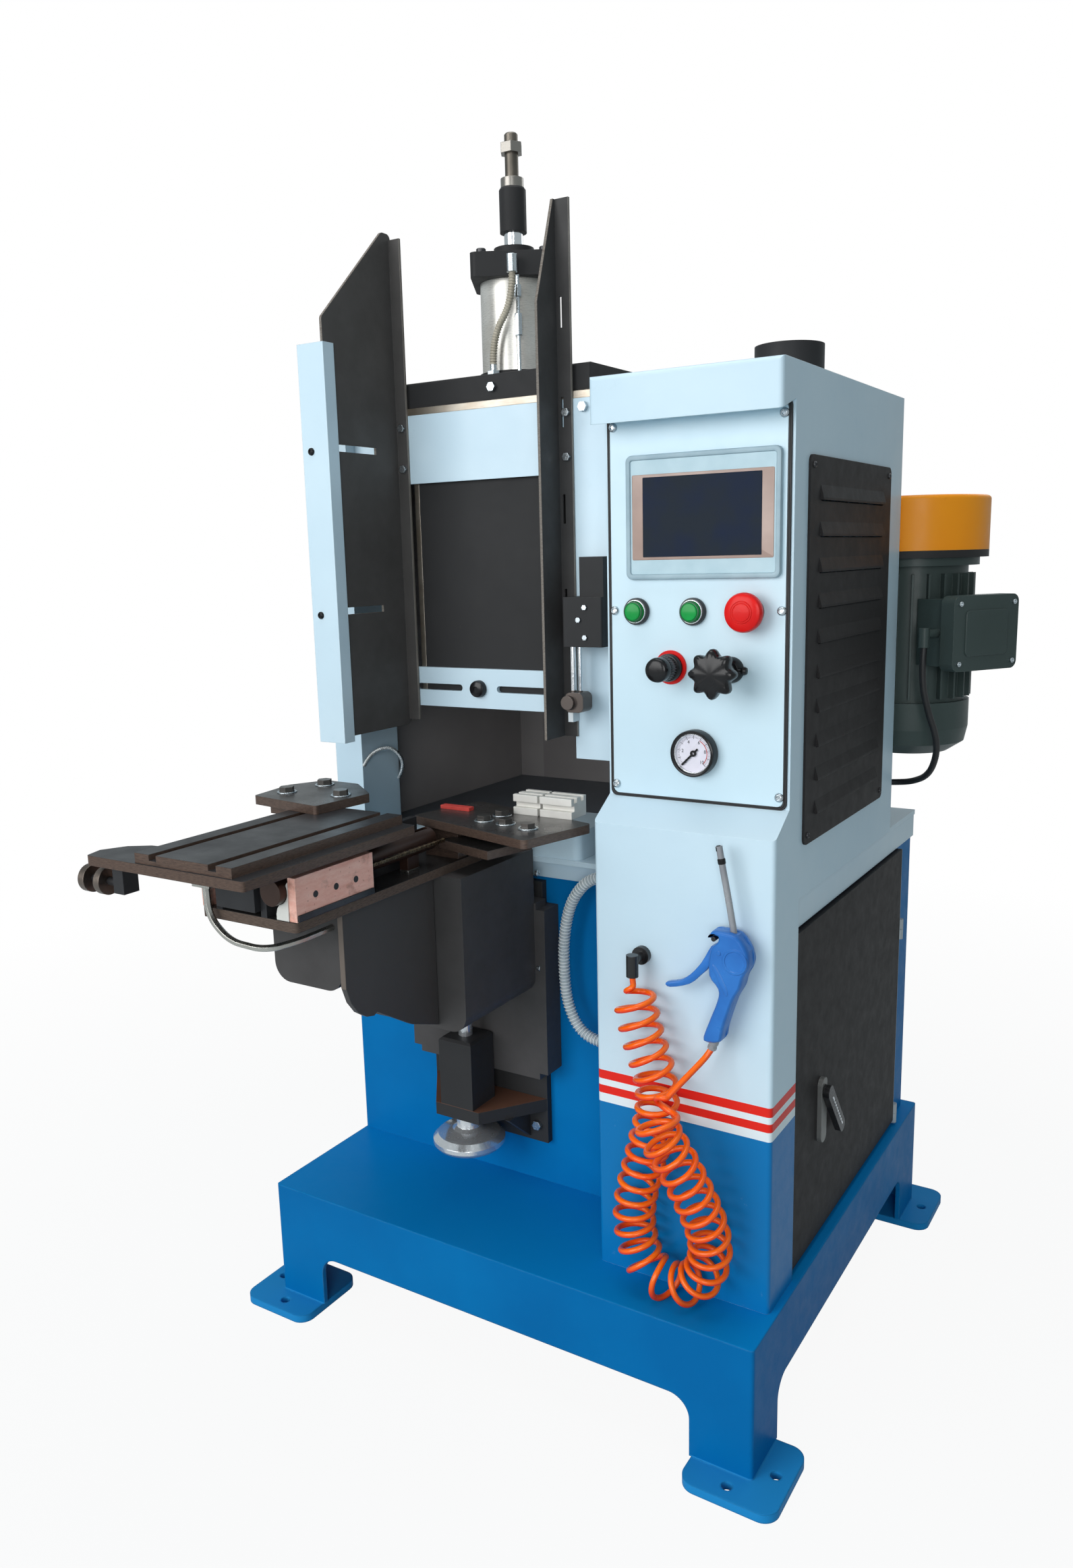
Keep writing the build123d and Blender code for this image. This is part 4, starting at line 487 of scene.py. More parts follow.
finishes["phenolic"] = phenolicFinish()
finishes["screenGlass"] = glassFinish("screenGlass", {
    "smear": (22.0, 5.0), "colours": ((34, 42, 52), (30, 40, 62)), "drift": (0.4, 0.7), "rough": (0.1, 0.22),
    "set": {"shine": 0.03}})
finishes["clearHose"] = glassFinish("clearHose", {
    "smear": (60.0, 3.0), "colours": ((206, 216, 220), (188, 200, 206)), "drift": (0.35, 0.65), "rough": (0.16, 0.3),
    "set": {"clear": 0.3, "bend": 1.35}})
print("finishes made:", len(finishes))


# mesh helpers
def joinBody(piece, body, stands=()):
    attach(piece, body)
    if stands:
        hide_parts(*stands)
    return piece


def linked(name, data):
    thing = bpy.data.objects.new(name, data)
    scene.collection.objects.link(thing)
    return thing


def addPiece(name, mesh, finish, body, stands=()):
    piece = linked(name, mesh)
    mesh.materials.clear()
    mesh.materials.append(finishes[finish])
    return joinBody(piece, body, stands)


def meshFrom(name, bm, sharp=35):
    mesh = bpy.data.meshes.new(name)
    bmesh.ops.recalc_face_normals(bm, faces=bm.faces)
    bm.normal_update()
    bm.to_mesh(mesh)
    bm.free()
    mesh.shade_smooth()
    mesh.set_sharp_from_angle(angle=math.radians(sharp))
    return mesh


def skinned(bm, rings, closed=False):
    # quads between rings of points; a ring of one point is a pole
    pairs = list(zip(rings, rings[1:])) + ([(rings[-1], rings[0])] if closed else [])
    for low, high in pairs:
        steps = max(len(low), len(high))
        for i in range(steps):
            j = (i + 1) % steps
            corners = [low[i % len(low)], low[j % len(low)], high[j % len(high)], high[i % len(high)]]
            kept = [c for n, c in enumerate(corners) if c not in corners[:n]]
            if len(kept) > 2:
                bm.faces.new(kept)


def turnedInto(bm, profile, place, axis, steps=40, lobes=0, closed=False):
    # profile points are (radius, height) in millimetres along the axis, with a third number for how far lobes swell
    turn = upWay.rotation_difference(Vector(axis)).to_matrix()
    rings = []
    for radius, height, *swell in profile:
        if radius < 1e-6:
            rings.append([bm.verts.new(place + turn @ Vector((0, 0, height / 1000)))])
            continue
        ring = []
        for i in range(steps):
            angle = 2 * math.pi * i / steps
            reach = (radius + (swell[0] * math.cos(lobes * angle) if swell else 0)) / 1000
            point = Vector((reach * math.cos(angle), reach * math.sin(angle), height / 1000))
            ring.append(bm.verts.new(place + turn @ point))
        rings.append(ring)
    skinned(bm, rings, closed)


def turnedMesh(name, parts, steps=40, lobes=0, closed=False):
    bm = bmesh.new()
    for profile, place, axis in parts:
        turnedInto(bm, profile, place, axis, steps, lobes, closed)
    return meshFrom(name, bm)


def turned(name, profile, place, finish, body, slotName, stands=(), **shape):
    # one turned piece facing the front
    addPiece(name, turnedMesh(name, ((profile, place, frontWay),), **shape), finish, body, stands)


def roundRect(wide, high, radius, steps=6):
    loop = []
    for cx, cz, start in ((wide / 2 - radius, high / 2 - radius, 0), (radius - wide / 2, high / 2 - radius, 90),
                          (radius - wide / 2, radius - high / 2, 180), (wide / 2 - radius, radius - high / 2, 270)):
        for i in range(steps + 1):
            angle = math.radians(start + 90 * i / steps)
            loop.append((cx + radius * math.cos(angle), cz + radius * math.sin(angle)))
    return loop


def framedMesh(name, centre, wide, high, steps, closed=False):
    # rounded rectangles facing the front, one for each (inset, depth, corner) step in millimetres
    bm = bmesh.new()
    rings = [[bm.verts.new(centre + Vector((x, depth, z)) / 1000)
              for x, z in roundRect(wide - 2 * inset, high - 2 * inset, max(corner, 0.2))]
             for inset, depth, corner in steps]
    skinned(bm, rings, not closed)
    if closed:
        bm.faces.new(rings[-1])
        bm.faces.new(rings[0][::-1])
    return meshFrom(name, bm)


def softLoop(points, per):
    # a closed outline rounded through its corner points
    loop = []
    for i in range(len(points)):
        a, b, c, d = (Vector(points[(i + k - 1) % len(points)]) for k in range(4))
        for t in (k / per for k in range(per)):
            square, cube = 2 * a - 5 * b + 4 * c - d, 3 * b - a - 3 * c + d
            loop.append(0.5 * ((2 * b) + (c - a) * t + square * t * t + cube * t ** 3))
    return loop


def slabInto(bm, loop, layers, placed):
    # an outline thickened through (depth, inset) layers; placed turns (across, up, depth) into a point
    loop = [Vector(p) for p in loop]
    count = len(loop)
    area = sum(loop[i - 1].x * loop[i].y - loop[i].x * loop[i - 1].y for i in range(count))
    inward = []
    for i in range(count):
        along = (loop[i] - loop[i - 1]).normalized() + (loop[(i + 1) % count] - loop[i]).normalized()
        along = along.normalized() if along.length > 1e-6 else (loop[i] - loop[i - 1]).normalized()
        inward.append(Vector((-along.y, along.x)) * (1 if area > 0 else -1))
    rings = [[bm.verts.new(placed(*(p + n * inset), depth)) for p, n in zip(loop, inward)] for depth, inset in layers]
    skinned(bm, rings)
    bm.faces.new(rings[0])
    bm.faces.new(rings[-1])


def loosePlace(across, up, depth):  # a small shape round the origin, in millimetres
    return Vector((across, up, depth)) / 1000


def slabMesh(name, loop, layers, placed=loosePlace, sharp=35):
    bm = bmesh.new()
    slabInto(bm, loop, layers, placed)
    return meshFrom(name, bm, sharp)


def plainMesh(thing):  # what the object comes to with its modifiers or bevel
    return bpy.data.meshes.new_from_object(thing.evaluated_get(bpy.context.evaluated_depsgraph_get()))


def bakedTree(name, mesh, tree, sizes):
    # runs a node tree on a mesh and keeps the plain result
    carrier = linked(name + "Carrier", mesh)
    modifier = carrier.modifiers.new("tree", "NODES")
    modifier.node_group = tree
    for item in tree.interface.items_tree:
        if item.in_out == "INPUT" and item.name in sizes:
            modifier[item.identifier] = sizes[item.name]
    baked = plainMesh(carrier)
    baked.name = name
    bpy.data.objects.remove(carrier)
    return linked(name, baked)


def startTree(name, inputs):
    tree = bpy.data.node_groups.new(name, "GeometryNodeTree")
    tree.interface.new_socket("Geometry", in_out="INPUT", socket_type="NodeSocketGeometry")
    for label in inputs:
        tree.interface.new_socket(label, in_out="INPUT", socket_type="NodeSocketFloat")
    tree.interface.new_socket("Geometry", in_out="OUTPUT", socket_type="NodeSocketGeometry")
    return tree, put(tree, "NodeGroupInput").outputs


def fieldOf(name, shape, spots, finish, body, stands=()):
    # one small shape set out by nodes on spots of (place, facing, turn, size)
    mesh = bpy.data.meshes.new(name + "Spots")
    mesh.from_pydata([s[0] for s in spots], [], [])
    columns = (("facing", "FLOAT_VECTOR", "vector"), ("turn", "FLOAT", "value"), ("grown", "FLOAT", "value"))
    for column, (label, kind, field) in enumerate(columns, 1):
        for item, s in zip(mesh.attributes.new(label, kind, "POINT").data, spots):
            setattr(item, field, s[column])
    model = linked(name + "Shape", shape)
    tree, given = startTree(name + "Field", ("Size",))
    pattern = put(tree, "GeometryNodeObjectInfo", {"Object": model}).outputs["Geometry"]
    facing, turn, grown = (put(tree, "GeometryNodeInputNamedAttribute", {"Name": label}, data_type=kind).outputs[0]
                           for label, kind, field in columns)
    aligned = put(tree, "FunctionNodeAlignRotationToVector", {"Vector": facing}, axis="Z").outputs[0]
    placed = put(tree, "GeometryNodeInstanceOnPoints", {
        "Points": given["Geometry"], "Instance": pattern, "Rotation": aligned,
        "Scale": sums(tree, "MULTIPLY", grown, given["Size"])}).outputs[0]
    spin = put(tree, "ShaderNodeCombineXYZ", {"Z": turn}).outputs[0]
    spun = put(tree, "GeometryNodeRotateInstances", {"Instances": placed, "Rotation": spin}).outputs[0]
    made = put(tree, "GeometryNodeRealizeInstances", {"Geometry": spun}).outputs[0]
    painted = put(tree, "GeometryNodeSetMaterial", {"Geometry": made, "Material": finishes[finish]}).outputs[0]
    put(tree, "NodeGroupOutput", {"Geometry": painted})
    piece = bakedTree(name, mesh, tree, {"Size": 1.0})
    bpy.data.objects.remove(model)
    return joinBody(piece, body, stands)


# cords: each plan lists guide points in part millimetres, and a spline runs smoothly along them
def routeSpline(name, points, fine=20):
    curve = bpy.data.curves.new(name, "CURVE")
    curve.dimensions = "3D"
    spline = curve.splines.new("NURBS")
    spline.points.add(len(points) - 1)
    for knot, point in zip(spline.points, points):
        knot.co = (*point, 1)
    spline.order_u = 3
    spline.use_endpoint_u = True
    curve.resolution_u = fine
    return curve


def readMesh(curve):
    holder = linked("bareLine", curve)
    mesh = plainMesh(holder)
    bpy.data.objects.remove(holder)
    return mesh


def readLine(curve):
    # the spline's own points, read with no bevel
    return [v.co.copy() for v in readMesh(curve).vertices]


def lineLength(line):
    return sum((b - a).length for a, b in zip(line, line[1:]))


def tubeMesh(name, points, radius, fine=20, sides=6):
    # a round tube along the spline, and the line it follows
    curve = routeSpline(name, points, fine)
    line = readLine(curve)
    curve.bevel_depth = radius
    curve.bevel_resolution = sides
    curve.use_fill_caps = True
    mesh = readMesh(curve)
    mesh.name = name
    bm = bmesh.new()
    bm.from_mesh(mesh)
    bmesh.ops.remove_doubles(bm, verts=bm.verts, dist=1e-6)
    bpy.data.meshes.remove(mesh)
    return meshFrom(name, bm, 50), line


motorLead = {"radius": 0.005, "points": (
    (844.07, 569.52, 1026), (842.07, 568.52, 981), (850, 582, 930), (861, 596, 890), (861, 606, 858), (845, 628, 822),
    (812, 662, 803), (781, 670, 798), (751, 659, 798), (733, 633, 798), (733, 581, 798))}
leadMesh, leadLine = tubeMesh("motorLead", [spot(*p) for p in motorLead["points"]], motorLead["radius"])
leadPiece = addPiece("motorLead", leadMesh, "blackRubber", "frame", ("motor_cable",))

recoil = {"tube": 0.008, "coil": 0.026, "pitch": 0.023, "gap": 0.012, "start": 0.008, "stop": 0.082, "grow": 0.024,
          "perTurn": 16, "step": 0.0004, "lead": 0.012, "points": (
              (621, 47, 640), (621, 47, 632), (634, 43, 570), (664, 43, 490), (642, 43, 400), (618, 43, 312),
              (634, 43, 240), (675, 43, 218), (722, 43, 240), (740, 39, 306), (710, 7, 410), (676, -19, 486),
              (703, 13, 524), (727.2, 52, 555.08), (729.67, 52, 562.69))}


def coilPoints(line, plan):
    # turns wound round the route, opening out where the route bends
    total = lineLength(line)
    across = rightWay.copy()
    along = (line[1] - line[0]).normalized()
    done = phase = mark = 0.0
    points = [line[0].copy()]
    turnStep = 2 * math.pi / plan["perTurn"]
    for a, b in zip(line, line[1:]):
        run = (b - a).length
        if run < 1e-7:
            continue
        way = (b - a) / run
        bend = (way - along).length / run
        along = way
        parts = max(1, int(run / plan["step"]))
        for i in range(parts):
            here = a + (b - a) * (i + 1) / parts
            done += run / parts
            left = total - plan["stop"] - done
            across = (across - way * across.dot(way)).normalized()
            squeezed = max(0.3, 1 - bend * (plan["coil"] + plan["tube"] / 2))
            if plan["start"] < done < total - plan["stop"]:
                phase += 2 * math.pi * run / parts / max(plan["pitch"], plan["gap"] / squeezed)
            t = min(max((done - plan["start"]) / plan["grow"], 0), 1, max(left / plan["grow"], 0))
            if phase - mark >= turnStep or (t == 0 and (here - points[-1]).length > plan["lead"]):
                mark = phase
                reach = plan["coil"] * t * t * (3 - 2 * t)
                points.append(here + (across * math.cos(phase) + way.cross(across) * math.sin(phase)) * reach)
    points.append(line[-1].copy())
    return points


recoilRoute = readLine(routeSpline("recoilRoute", [spot(*p) for p in recoil["points"]]))
recoilMesh, recoilLine = tubeMesh("recoilHose", coilPoints(recoilRoute, recoil), recoil["tube"] / 2, 3, 3)
recoilPiece = addPiece("recoilHose", recoilMesh, "orangeHose", "frame", ("recoil_hose",))


def ribbedHose(name, plan, finish, ringFinish, slotName, *stands):
    # a thin wall with rings along it, set out by nodes on the points read from the route
    line = readLine(routeSpline(name + "Route", [spot(*p) for p in plan["points"]]))
    mesh = bpy.data.meshes.new(name + "Line")
    mesh.from_pydata(line, [(i, i + 1) for i in range(len(line) - 1)], [])
    sizes = {"Wall radius": plan["wall"], "Ring radius": plan["ring"], "Ring thickness": plan["wire"],
             "Pitch": plan["pitch"]}
    tree, given = startTree(name + "Rings", sizes)

    def circle(points, radius):
        return put(tree, "GeometryNodeCurvePrimitiveCircle", {"Resolution": points, "Radius": given[radius]}).outputs[0]

    def swept(path, section, **more):
        return put(tree, "GeometryNodeCurveToMesh", {"Curve": path, "Profile Curve": section, **more}).outputs[0]

    path = put(tree, "GeometryNodeMeshToCurve", {"Mesh": given["Geometry"]}).outputs[0]
    wall = swept(path, circle(24, "Wall radius"), **{"Fill Caps": True})
    ring = swept(circle(24, "Ring radius"), circle(8, "Ring thickness"))
    sown = put(tree, "GeometryNodeCurveToPoints", {"Curve": path, "Length": given["Pitch"]}, mode="LENGTH").outputs
    rings = put(tree, "GeometryNodeInstanceOnPoints", {
        "Points": sown["Points"], "Instance": ring, "Rotation": sown["Rotation"]}).outputs[0]
    stood = put(tree, "GeometryNodeRealizeInstances", {"Geometry": rings}).outputs[0]
    joined = put(tree, "GeometryNodeJoinGeometry")
    for shape, look in ((stood, ringFinish), (wall, finish)):
        painted = put(tree, "GeometryNodeSetMaterial", {"Geometry": shape, "Material": finishes[look]}).outputs[0]
        tree.links.new(painted, joined.inputs[0])
    shaded = put(tree, "GeometryNodeSetShadeSmooth", {"Geometry": joined.outputs[0]}).outputs[0]
    put(tree, "NodeGroupOutput", {"Geometry": shaded})
    piece = joinBody(bakedTree(name, mesh, tree, sizes), "frame", stands)


clearPlan = {"wall": 0.0072, "ring": 0.0078, "wire": 0.0009, "pitch": 0.0052, "points": (
    (540, 185, 727), (492, 185, 727), (452, 185, 688), (437, 185, 632), (435, 185, 575), (440, 185, 520),
    (462, 185, 480), (500, 185, 470), (540, 185, 470))}
cylinderPlan = {"wall": 0.0044, "ring": 0.0044, "wire": 0.0011, "pitch": 0.0038, "points": (
    (316.5, 279.3, 1576), (316.5, 279.3, 1538), (279, 280, 1492), (279, 280, 1454))}
braidPlan = {"wall": 0.0027, "ring": 0.0028, "wire": 0.0006, "pitch": 0.0017, "points": (
    (55, 203, 849), (62, 206, 863), (72, 222, 875), (80, 246, 874), (80, 270, 853), (70, 284, 831), (55, 290, 815))}
ribbedHose("clearHose", clearPlan, "clearHose", "hoseRing", "clear_plastic", "clear_hose")
ribbedHose("cylinderHose", cylinderPlan, "hoseSkin", "hoseSkin", "black_rubber", "cylinder_hose")
ribbedHose("braidHose", braidPlan, "hoseSkin", "zincSteel", "raw_steel")
print("cords laid; recoil hose", round(lineLength(recoilLine), 3), "m")


# blow gun on the hose's end: two rounded cheeks with the lever's slot between them
gunPlan = {"at": (734, 52, 576), "lean": (0.309, 0, 0.951), "slot": 5.5, "half": 14, "boss": 12.6, "nozzle": 0.0042}
gunOutline = ((-11, 0), (11, 2), (16, 21), (28, 58), (37, 75), (41, 90), (48, 105), (46, 124), (32, 142), (10, 145),
              (0, 144), (-4, 137), (-1, 135), (0, 138), (8, 138), (7, 131), (-2, 120), (-4, 87), (8, 71), (7, 55), (-5, 23))
gunMiddle = gunOutline[:16] + ((6, 129.5), (20, 129), (20, 64), (7.4, 64)) + gunOutline[19:]
cheekLayers = ((gunPlan["slot"], 0), (8.5, 0.1), (11.2, 0.6), (13, 1.6), (gunPlan["half"], 3.2))
bossProfile = ((0, 1.6), (12.5, 1.6), (13.2, 2.6), (15.4, 2.6), (16.2, 1.9), (16.4, 0), (0, 0))
pinProfile = ((0, 2.2), (2.6, 2.2), (3.1, 1.6), (3.1, 0), (0, 0))
leverOutline = ((15, 121), (12, 124), (4, 125), (-4, 122), (-17, 99), (-32, 81), (-47, 70), (-66, 64), (-60, 59),
                (-33, 68), (-17, 83), (-11, 89), (-1, 104), (6, 112), (13, 114))
leverLayers = ((-5.2, 1.5), (-4.6, 0.4), (-3.6, 0), (3.6, 0), (4.6, 0.4), (5.2, 1.5))
nozzleRoute = ((25, 137), (17, 183), (7, 231), (4, 249))


def gunSpot(across, up, depth=0):
    x, y, z = gunPlan["at"]
    return spot(x + across, y + depth, z + up)


bm = bmesh.new()
for side in (-1, 1):
    slabInto(bm, softLoop(gunOutline, 3), [(side * depth, inset) for depth, inset in cheekLayers], gunSpot)
    for profile, across, up, steps in ((bossProfile, 31, 110, 36), (pinProfile, 10, 118, 18)):
        turnedInto(bm, profile, gunSpot(across, up, side * gunPlan["boss"]), (0, side, 0), steps)
slabInto(bm, gunMiddle, ((-6, 0), (6, 0)), gunSpot)
slabInto(bm, softLoop(((2, 98), (7, 100), (22, 72), (18, 66)), 5), ((-15, 1.4), (-14.4, 0.3), (-13, 0)), gunSpot)
addPiece("gunBody", meshFrom("gunBody", bm, 30), "gunPlastic", "frame", ("blow_gun",))
nozzleMesh = tubeMesh("gunNozzle", [gunSpot(*p) for p in nozzleRoute], gunPlan["nozzle"], 10, 5)[0]
addPiece("gunNozzle", nozzleMesh, "gunGrey", "frame")
nozzleWay = (gunSpot(*nozzleRoute[3]) - gunSpot(*nozzleRoute[2])).normalized()
tipParts = ((((0, 0), (4.6, 0), (5, 1), (5, 6), (4.2, 7), (0, 7)), gunSpot(8, 227), nozzleWay),
            (((0, -1), (3.9, -1), (3.9, 4), (2.4, 5.6), (0, 6)), gunSpot(4, 244), nozzleWay))
addPiece("gunTip", turnedMesh("gunTip", tipParts, 20), "blackPlastic", "frame")
ferrule = ((0, -1), (5.2, -1), (6, 0), (6, 3), (5.2, 4), (5.2, 6), (6.2, 7), (6.2, 13), (0, 13))
ferruleMesh = turnedMesh("gunFerrule", ((ferrule, spot(*recoil["points"][-1]), gunPlan["lean"]),), 24)
addPiece("gunFerrule", ferruleMesh, "gunGrey", "frame")
leverMesh = slabMesh("gunLever", softLoop(leverOutline, 3), leverLayers, gunSpot, 30)
addPiece("gunLever", leverMesh, "gunPlastic", "trigger", ("gun_trigger",))
print("blow gun made")


# carried-over solids take their finishes
dressed = {
    "basePaint": "base_frame", "bluePaint": "column", "cabinetPaint": "cabinet_shell", "palePaint": "fence_strip ram_band",
    "trayPaint": "tray", "headPaint": "head_shell", "panelPaint": "control_panel", "pillarPaint": "pillar_shell",
    "sideShadeBlack": "louvre_plate", "doorPaint": "door", "wayPaint": "column_way", "sleevePaint": "stop_sleeve",
    "blackPaint": "duct_cap top_beam ram_carriage pusher_body cylinder_caps motor_bracket", "kneePaint": "knee_body",
    "leftGuard": "left_guard", "rightGuard": "right_guard", "tablePlate": "feed_table guide_strips",
    "leftPlate": "left_fixture", "rightPlate": "right_fixture", "orangePaint": "belt_guard", "motorPaint": "motor_frame",
    "rawSteel": "top_plate", "tubeSteel": "cylinder_tube", "feedBarrel": "feed_cylinder", "rodSteel": "ram_rod",
    "studSteel": "spindle motor_rotor roller_pair", "chrome": "handwheel", "pusherChrome": "pusher_rods",
    "darkSteel": "door_lever", "zincSteel": "machine_bolts", "fittingSteel": "pipe_fittings",
    "milledAluminium": "stop_block", "castIron": "spindle_housing", "gearPlastic": "control_gear",
    "phenolic": "guide_blocks", "blackPlastic": "gauge_pointer", "blackRubber": "drive_belt",
}
solids = [(finish, name) for finish, names in dressed.items() for name in names.split()]
for finish, name in solids:
    for slot in nodes[name].material_slots:
        slot.link = "OBJECT"
        slot.material = finishes[finish]
print("solids dressed:", len(solids))


# touch screen: raised lip, pale bands, warm inner frame and dark glass
screenPlan = {"x": 685, "z": 1218, "lip": (204, 152), "bands": (191, 139), "frame": (187, 104), "glass": (157, 97)}
screenLayers = (
    ("screenLip", "greyPlastic", "lip", False, (
        (0, 121, 8), (0, 115.2, 8), (0.6, 113.6, 7.6), (1.8, 113, 6.6), (4.6, 113, 4.4), (5.8, 113.6, 3.6), (6.5, 115, 3),
        (6.5, 121, 3))),
    ("screenBands", "bezelBand", "bands", True, ((0, 118, 3), (0, 115.4, 3))),
    ("screenFrame", "warmFrame", "frame", True, ((0, 117, 2), (0, 115.1, 2), (0.5, 114.7, 1.8))),
    ("screenGlass", "screenGlass", "glass", True, ((0, 117, 1), (0, 114.6, 1), (0.4, 114.2, 0.8))))
for name, finish, size, closed, steps in screenLayers:
    mesh = framedMesh(name, spot(screenPlan["x"], 0, screenPlan["z"]), *screenPlan[size], steps, closed)
    addPiece(name, mesh, finish, "frame", ("hmi",) if size == "lip" else ())

# dark gasket showing round the control panel
gasketPlan = {"x": 675, "z": 1103, "wide": 243.2, "high": 487.2, "steps": (
    (0, 123.9, 9), (0, 122, 9), (0.7, 121.2, 8.5), (1.7, 121.2, 8), (2.2, 121.9, 7.6), (2.7, 121.2, 7.2), (3.9, 121.2, 6.4),
    (4.5, 122, 6), (4.5, 123.9, 6))}
gasketMesh = framedMesh("panelGasket", spot(gasketPlan["x"], 0, gasketPlan["z"]), gasketPlan["wide"], gasketPlan["high"],
                        gasketPlan["steps"])
addPiece("panelGasket", gasketMesh, "blackRubber", "frame")
print("panel dressed")


# small heads set out by nodes
panel = {"face": 121, "screwX": (562.5, 787.5), "screwZ": (876, 1103, 1330), "startCap": (595, 1102),
         "cycleCap": (673, 1102), "estop": (748, 1102), "regulator": (642, 1032), "star": (724, 1031), "gauge": (677, 925)}
lidPlan = {"x": 790, "y": 700, "z": 1046, "wide": 84, "high": 68, "corner": 8, "screwX": 54, "screwZ": 44, "face": 156,
           "layers": ((155, 0), (157.4, 0), (158.2, 0.8))}
lidWay, lidAcross = Vector((0.848, -0.530, 0)), Vector((0.530, 0.848, 0))
topCap = {"x": 278, "y": 346, "z": 1609, "reach": 46, "turn": math.radians(30)}
relayPlan = {"face": 615.4, "first": 424, "pitch": 50, "count": 4, "screwY": (0, 12, 24), "screwZ": (487, 552)}
boardPlan = {"right": 356, "left": 200, "holeY": (-245, -209, -173), "holeZ": 791.5}
leftWashers, leftTop = ((154, -75), (166, -12), (238, -60)), 865
rightWashers, rightTop = ((392, 54), (396, 92), (430, 50), (472, 40)), 822
headSteps, headTurn = 18, 0.7  # sides of a head, and how much further each is turned
hardware = ("panel_hardware",)
socketHead = ((0, -0.4), (4.5, -0.4), (4.5, 0.7), (4.1, 1.9), (3.2, 2.8), (2.3, 3.1), (2.1, 2.9), (2.0, 1.6), (0, 1.6))
capHead = ((0, -0.4), (4.2, -0.4), (4.2, 3.6), (3.7, 4.2), (2.3, 4.2), (2.2, 3.9), (2.2, 2), (0, 2))
washerRing = ((10.8, 0), (13.6, 0), (14, 0.5), (13.6, 1.4), (10.8, 1.4))
boltMouth = ((0, 0.05), (3, 0.05), (3.3, 0.5), (4, 0.5), (4.2, 0.05), (4.2, -0.6), (0, -0.6))


def heads(name, profile, spots, finish, body, stands=(), closed=False):
    shape = turnedMesh(name + "One", ((profile, Vector(), upWay),), headSteps, closed=closed)
    turnedSpots = [(place, facing, headTurn * n, size) for n, (place, facing, size) in enumerate(spots)]
    fieldOf(name, shape, turnedSpots, finish, body, stands)


def lidSpot(across, up, reach):
    return spot(lidPlan["x"], lidPlan["y"], lidPlan["z"] + up) + (lidWay * reach + lidAcross * across) / 1000


def capSpot(x, y):
    across, along = math.cos(topCap["turn"]), math.sin(topCap["turn"])
    return spot(topCap["x"] + x * across - y * along, topCap["y"] + x * along + y * across, topCap["z"])


def both(reach):
    return -reach, reach


def grid(facing, size, xs, ys, zs):  # a head on every crossing
    return [(spot(x, y, z), facing, size) for x in xs for y in ys for z in zs]


heads("panelScrews", socketHead, grid(frontWay, 1.3, panel["screwX"], (panel["face"],), panel["screwZ"]),
      "zincSteel", "frame", hardware)
heads("louvreScrews", socketHead, grid(rightWay, 0.9, (803,), (182, 503), (817, 1274)),
      "darkSteel", "frame", hardware)
lidSpots = [(lidSpot(x, z, lidPlan["face"]), lidWay, 0.9) for x in both(lidPlan["screwX"]) for z in both(lidPlan["screwZ"])]
heads("lidScrews", capHead, lidSpots, "zincSteel", "frame")
lidLoop = roundRect(lidPlan["wide"], lidPlan["high"], lidPlan["corner"])
addPiece("lidPanel", slabMesh("lidPanel", lidLoop, lidPlan["layers"], lidSpot), "motorPaint", "frame")
capSpots = [(capSpot(x, y), upWay, 1.7) for x in both(topCap["reach"]) for y in both(topCap["reach"])]
heads("capScrews", capHead, capSpots, "darkSteel", "frame")
heads("fenceScrews", socketHead, grid(frontWay, 1.2, (113.5,), (59.2,), (1098, 1327)),
      "blackPlastic", "frame")
heads("leftWashers", washerRing, [(spot(x, y, leftTop), upWay, 1.0) for x, y in leftWashers],
      "zincSteel", "feed", closed=True)
heads("rightWashers", washerRing, [(spot(x, y, rightTop), upWay, 1.0) for x, y in rightWashers],
      "zincSteel", "knee", closed=True)
boardSpots = [hole for x, way in ((boardPlan["right"], rightWay), (boardPlan["left"], -rightWay))
              for hole in grid(way, 1.0, (x,), boardPlan["holeY"], (boardPlan["holeZ"],))]
heads("boardHoles", boltMouth, boardSpots, "blackRubber", "knee")
relayY = [relayPlan["first"] + relayPlan["pitch"] * i + y for i in range(relayPlan["count"]) for y in relayPlan["screwY"]]
heads("relayScrews", capHead, grid(rightWay, 0.55, (relayPlan["face"],), relayY, relayPlan["screwZ"]),
      "zincSteel", "frame")
heads("kneeScrews", capHead, grid(rightWay, 1.2, (391,), (184,), (716, 569)), "zincSteel", "knee")


# buttons and knobs on the control panel
def panelSpot(label):
    x, z = panel[label]
    return spot(x, panel["face"], z)


pushCap = ((0, 4.5), (12.6, 4.5), (12.6, 12.6), (12.2, 13.4), (11.4, 13.7), (11, 13.7), (10.8, 14.6), (10, 15.6),
           (8.4, 16), (0, 16))
pushRim = ((11.3, 13.2), (12.75, 12.4), (12.8, 13.5), (12.3, 14.1), (11.4, 14.2))
pushRing = ((15, 0), (17.2, 0), (17.2, 5), (16.4, 7), (15, 7.4))
pushCollar = ((13.4, 0), (15, 0), (15, 8), (14.6, 9), (13.8, 9.2), (13.4, 8.6))
for name, body, node in (("startCap", "start", "start_button"), ("cycleCap", "cycle", "cycle_button")):
    at = panelSpot(name)
    turned(name, pushCap, at, "greenPlastic", body, "green_plastic", (node,))
    turned(name + "Rim", pushRim, at, "darkGreen", body, "green_plastic", closed=True)
    turned(name + "Ring", pushRing, at, "darkSteel", "frame", "dark_steel", hardware, closed=True)
    turned(name + "Collar", pushCollar, at, "chrome", "frame", "bright_chrome", hardware, closed=True)
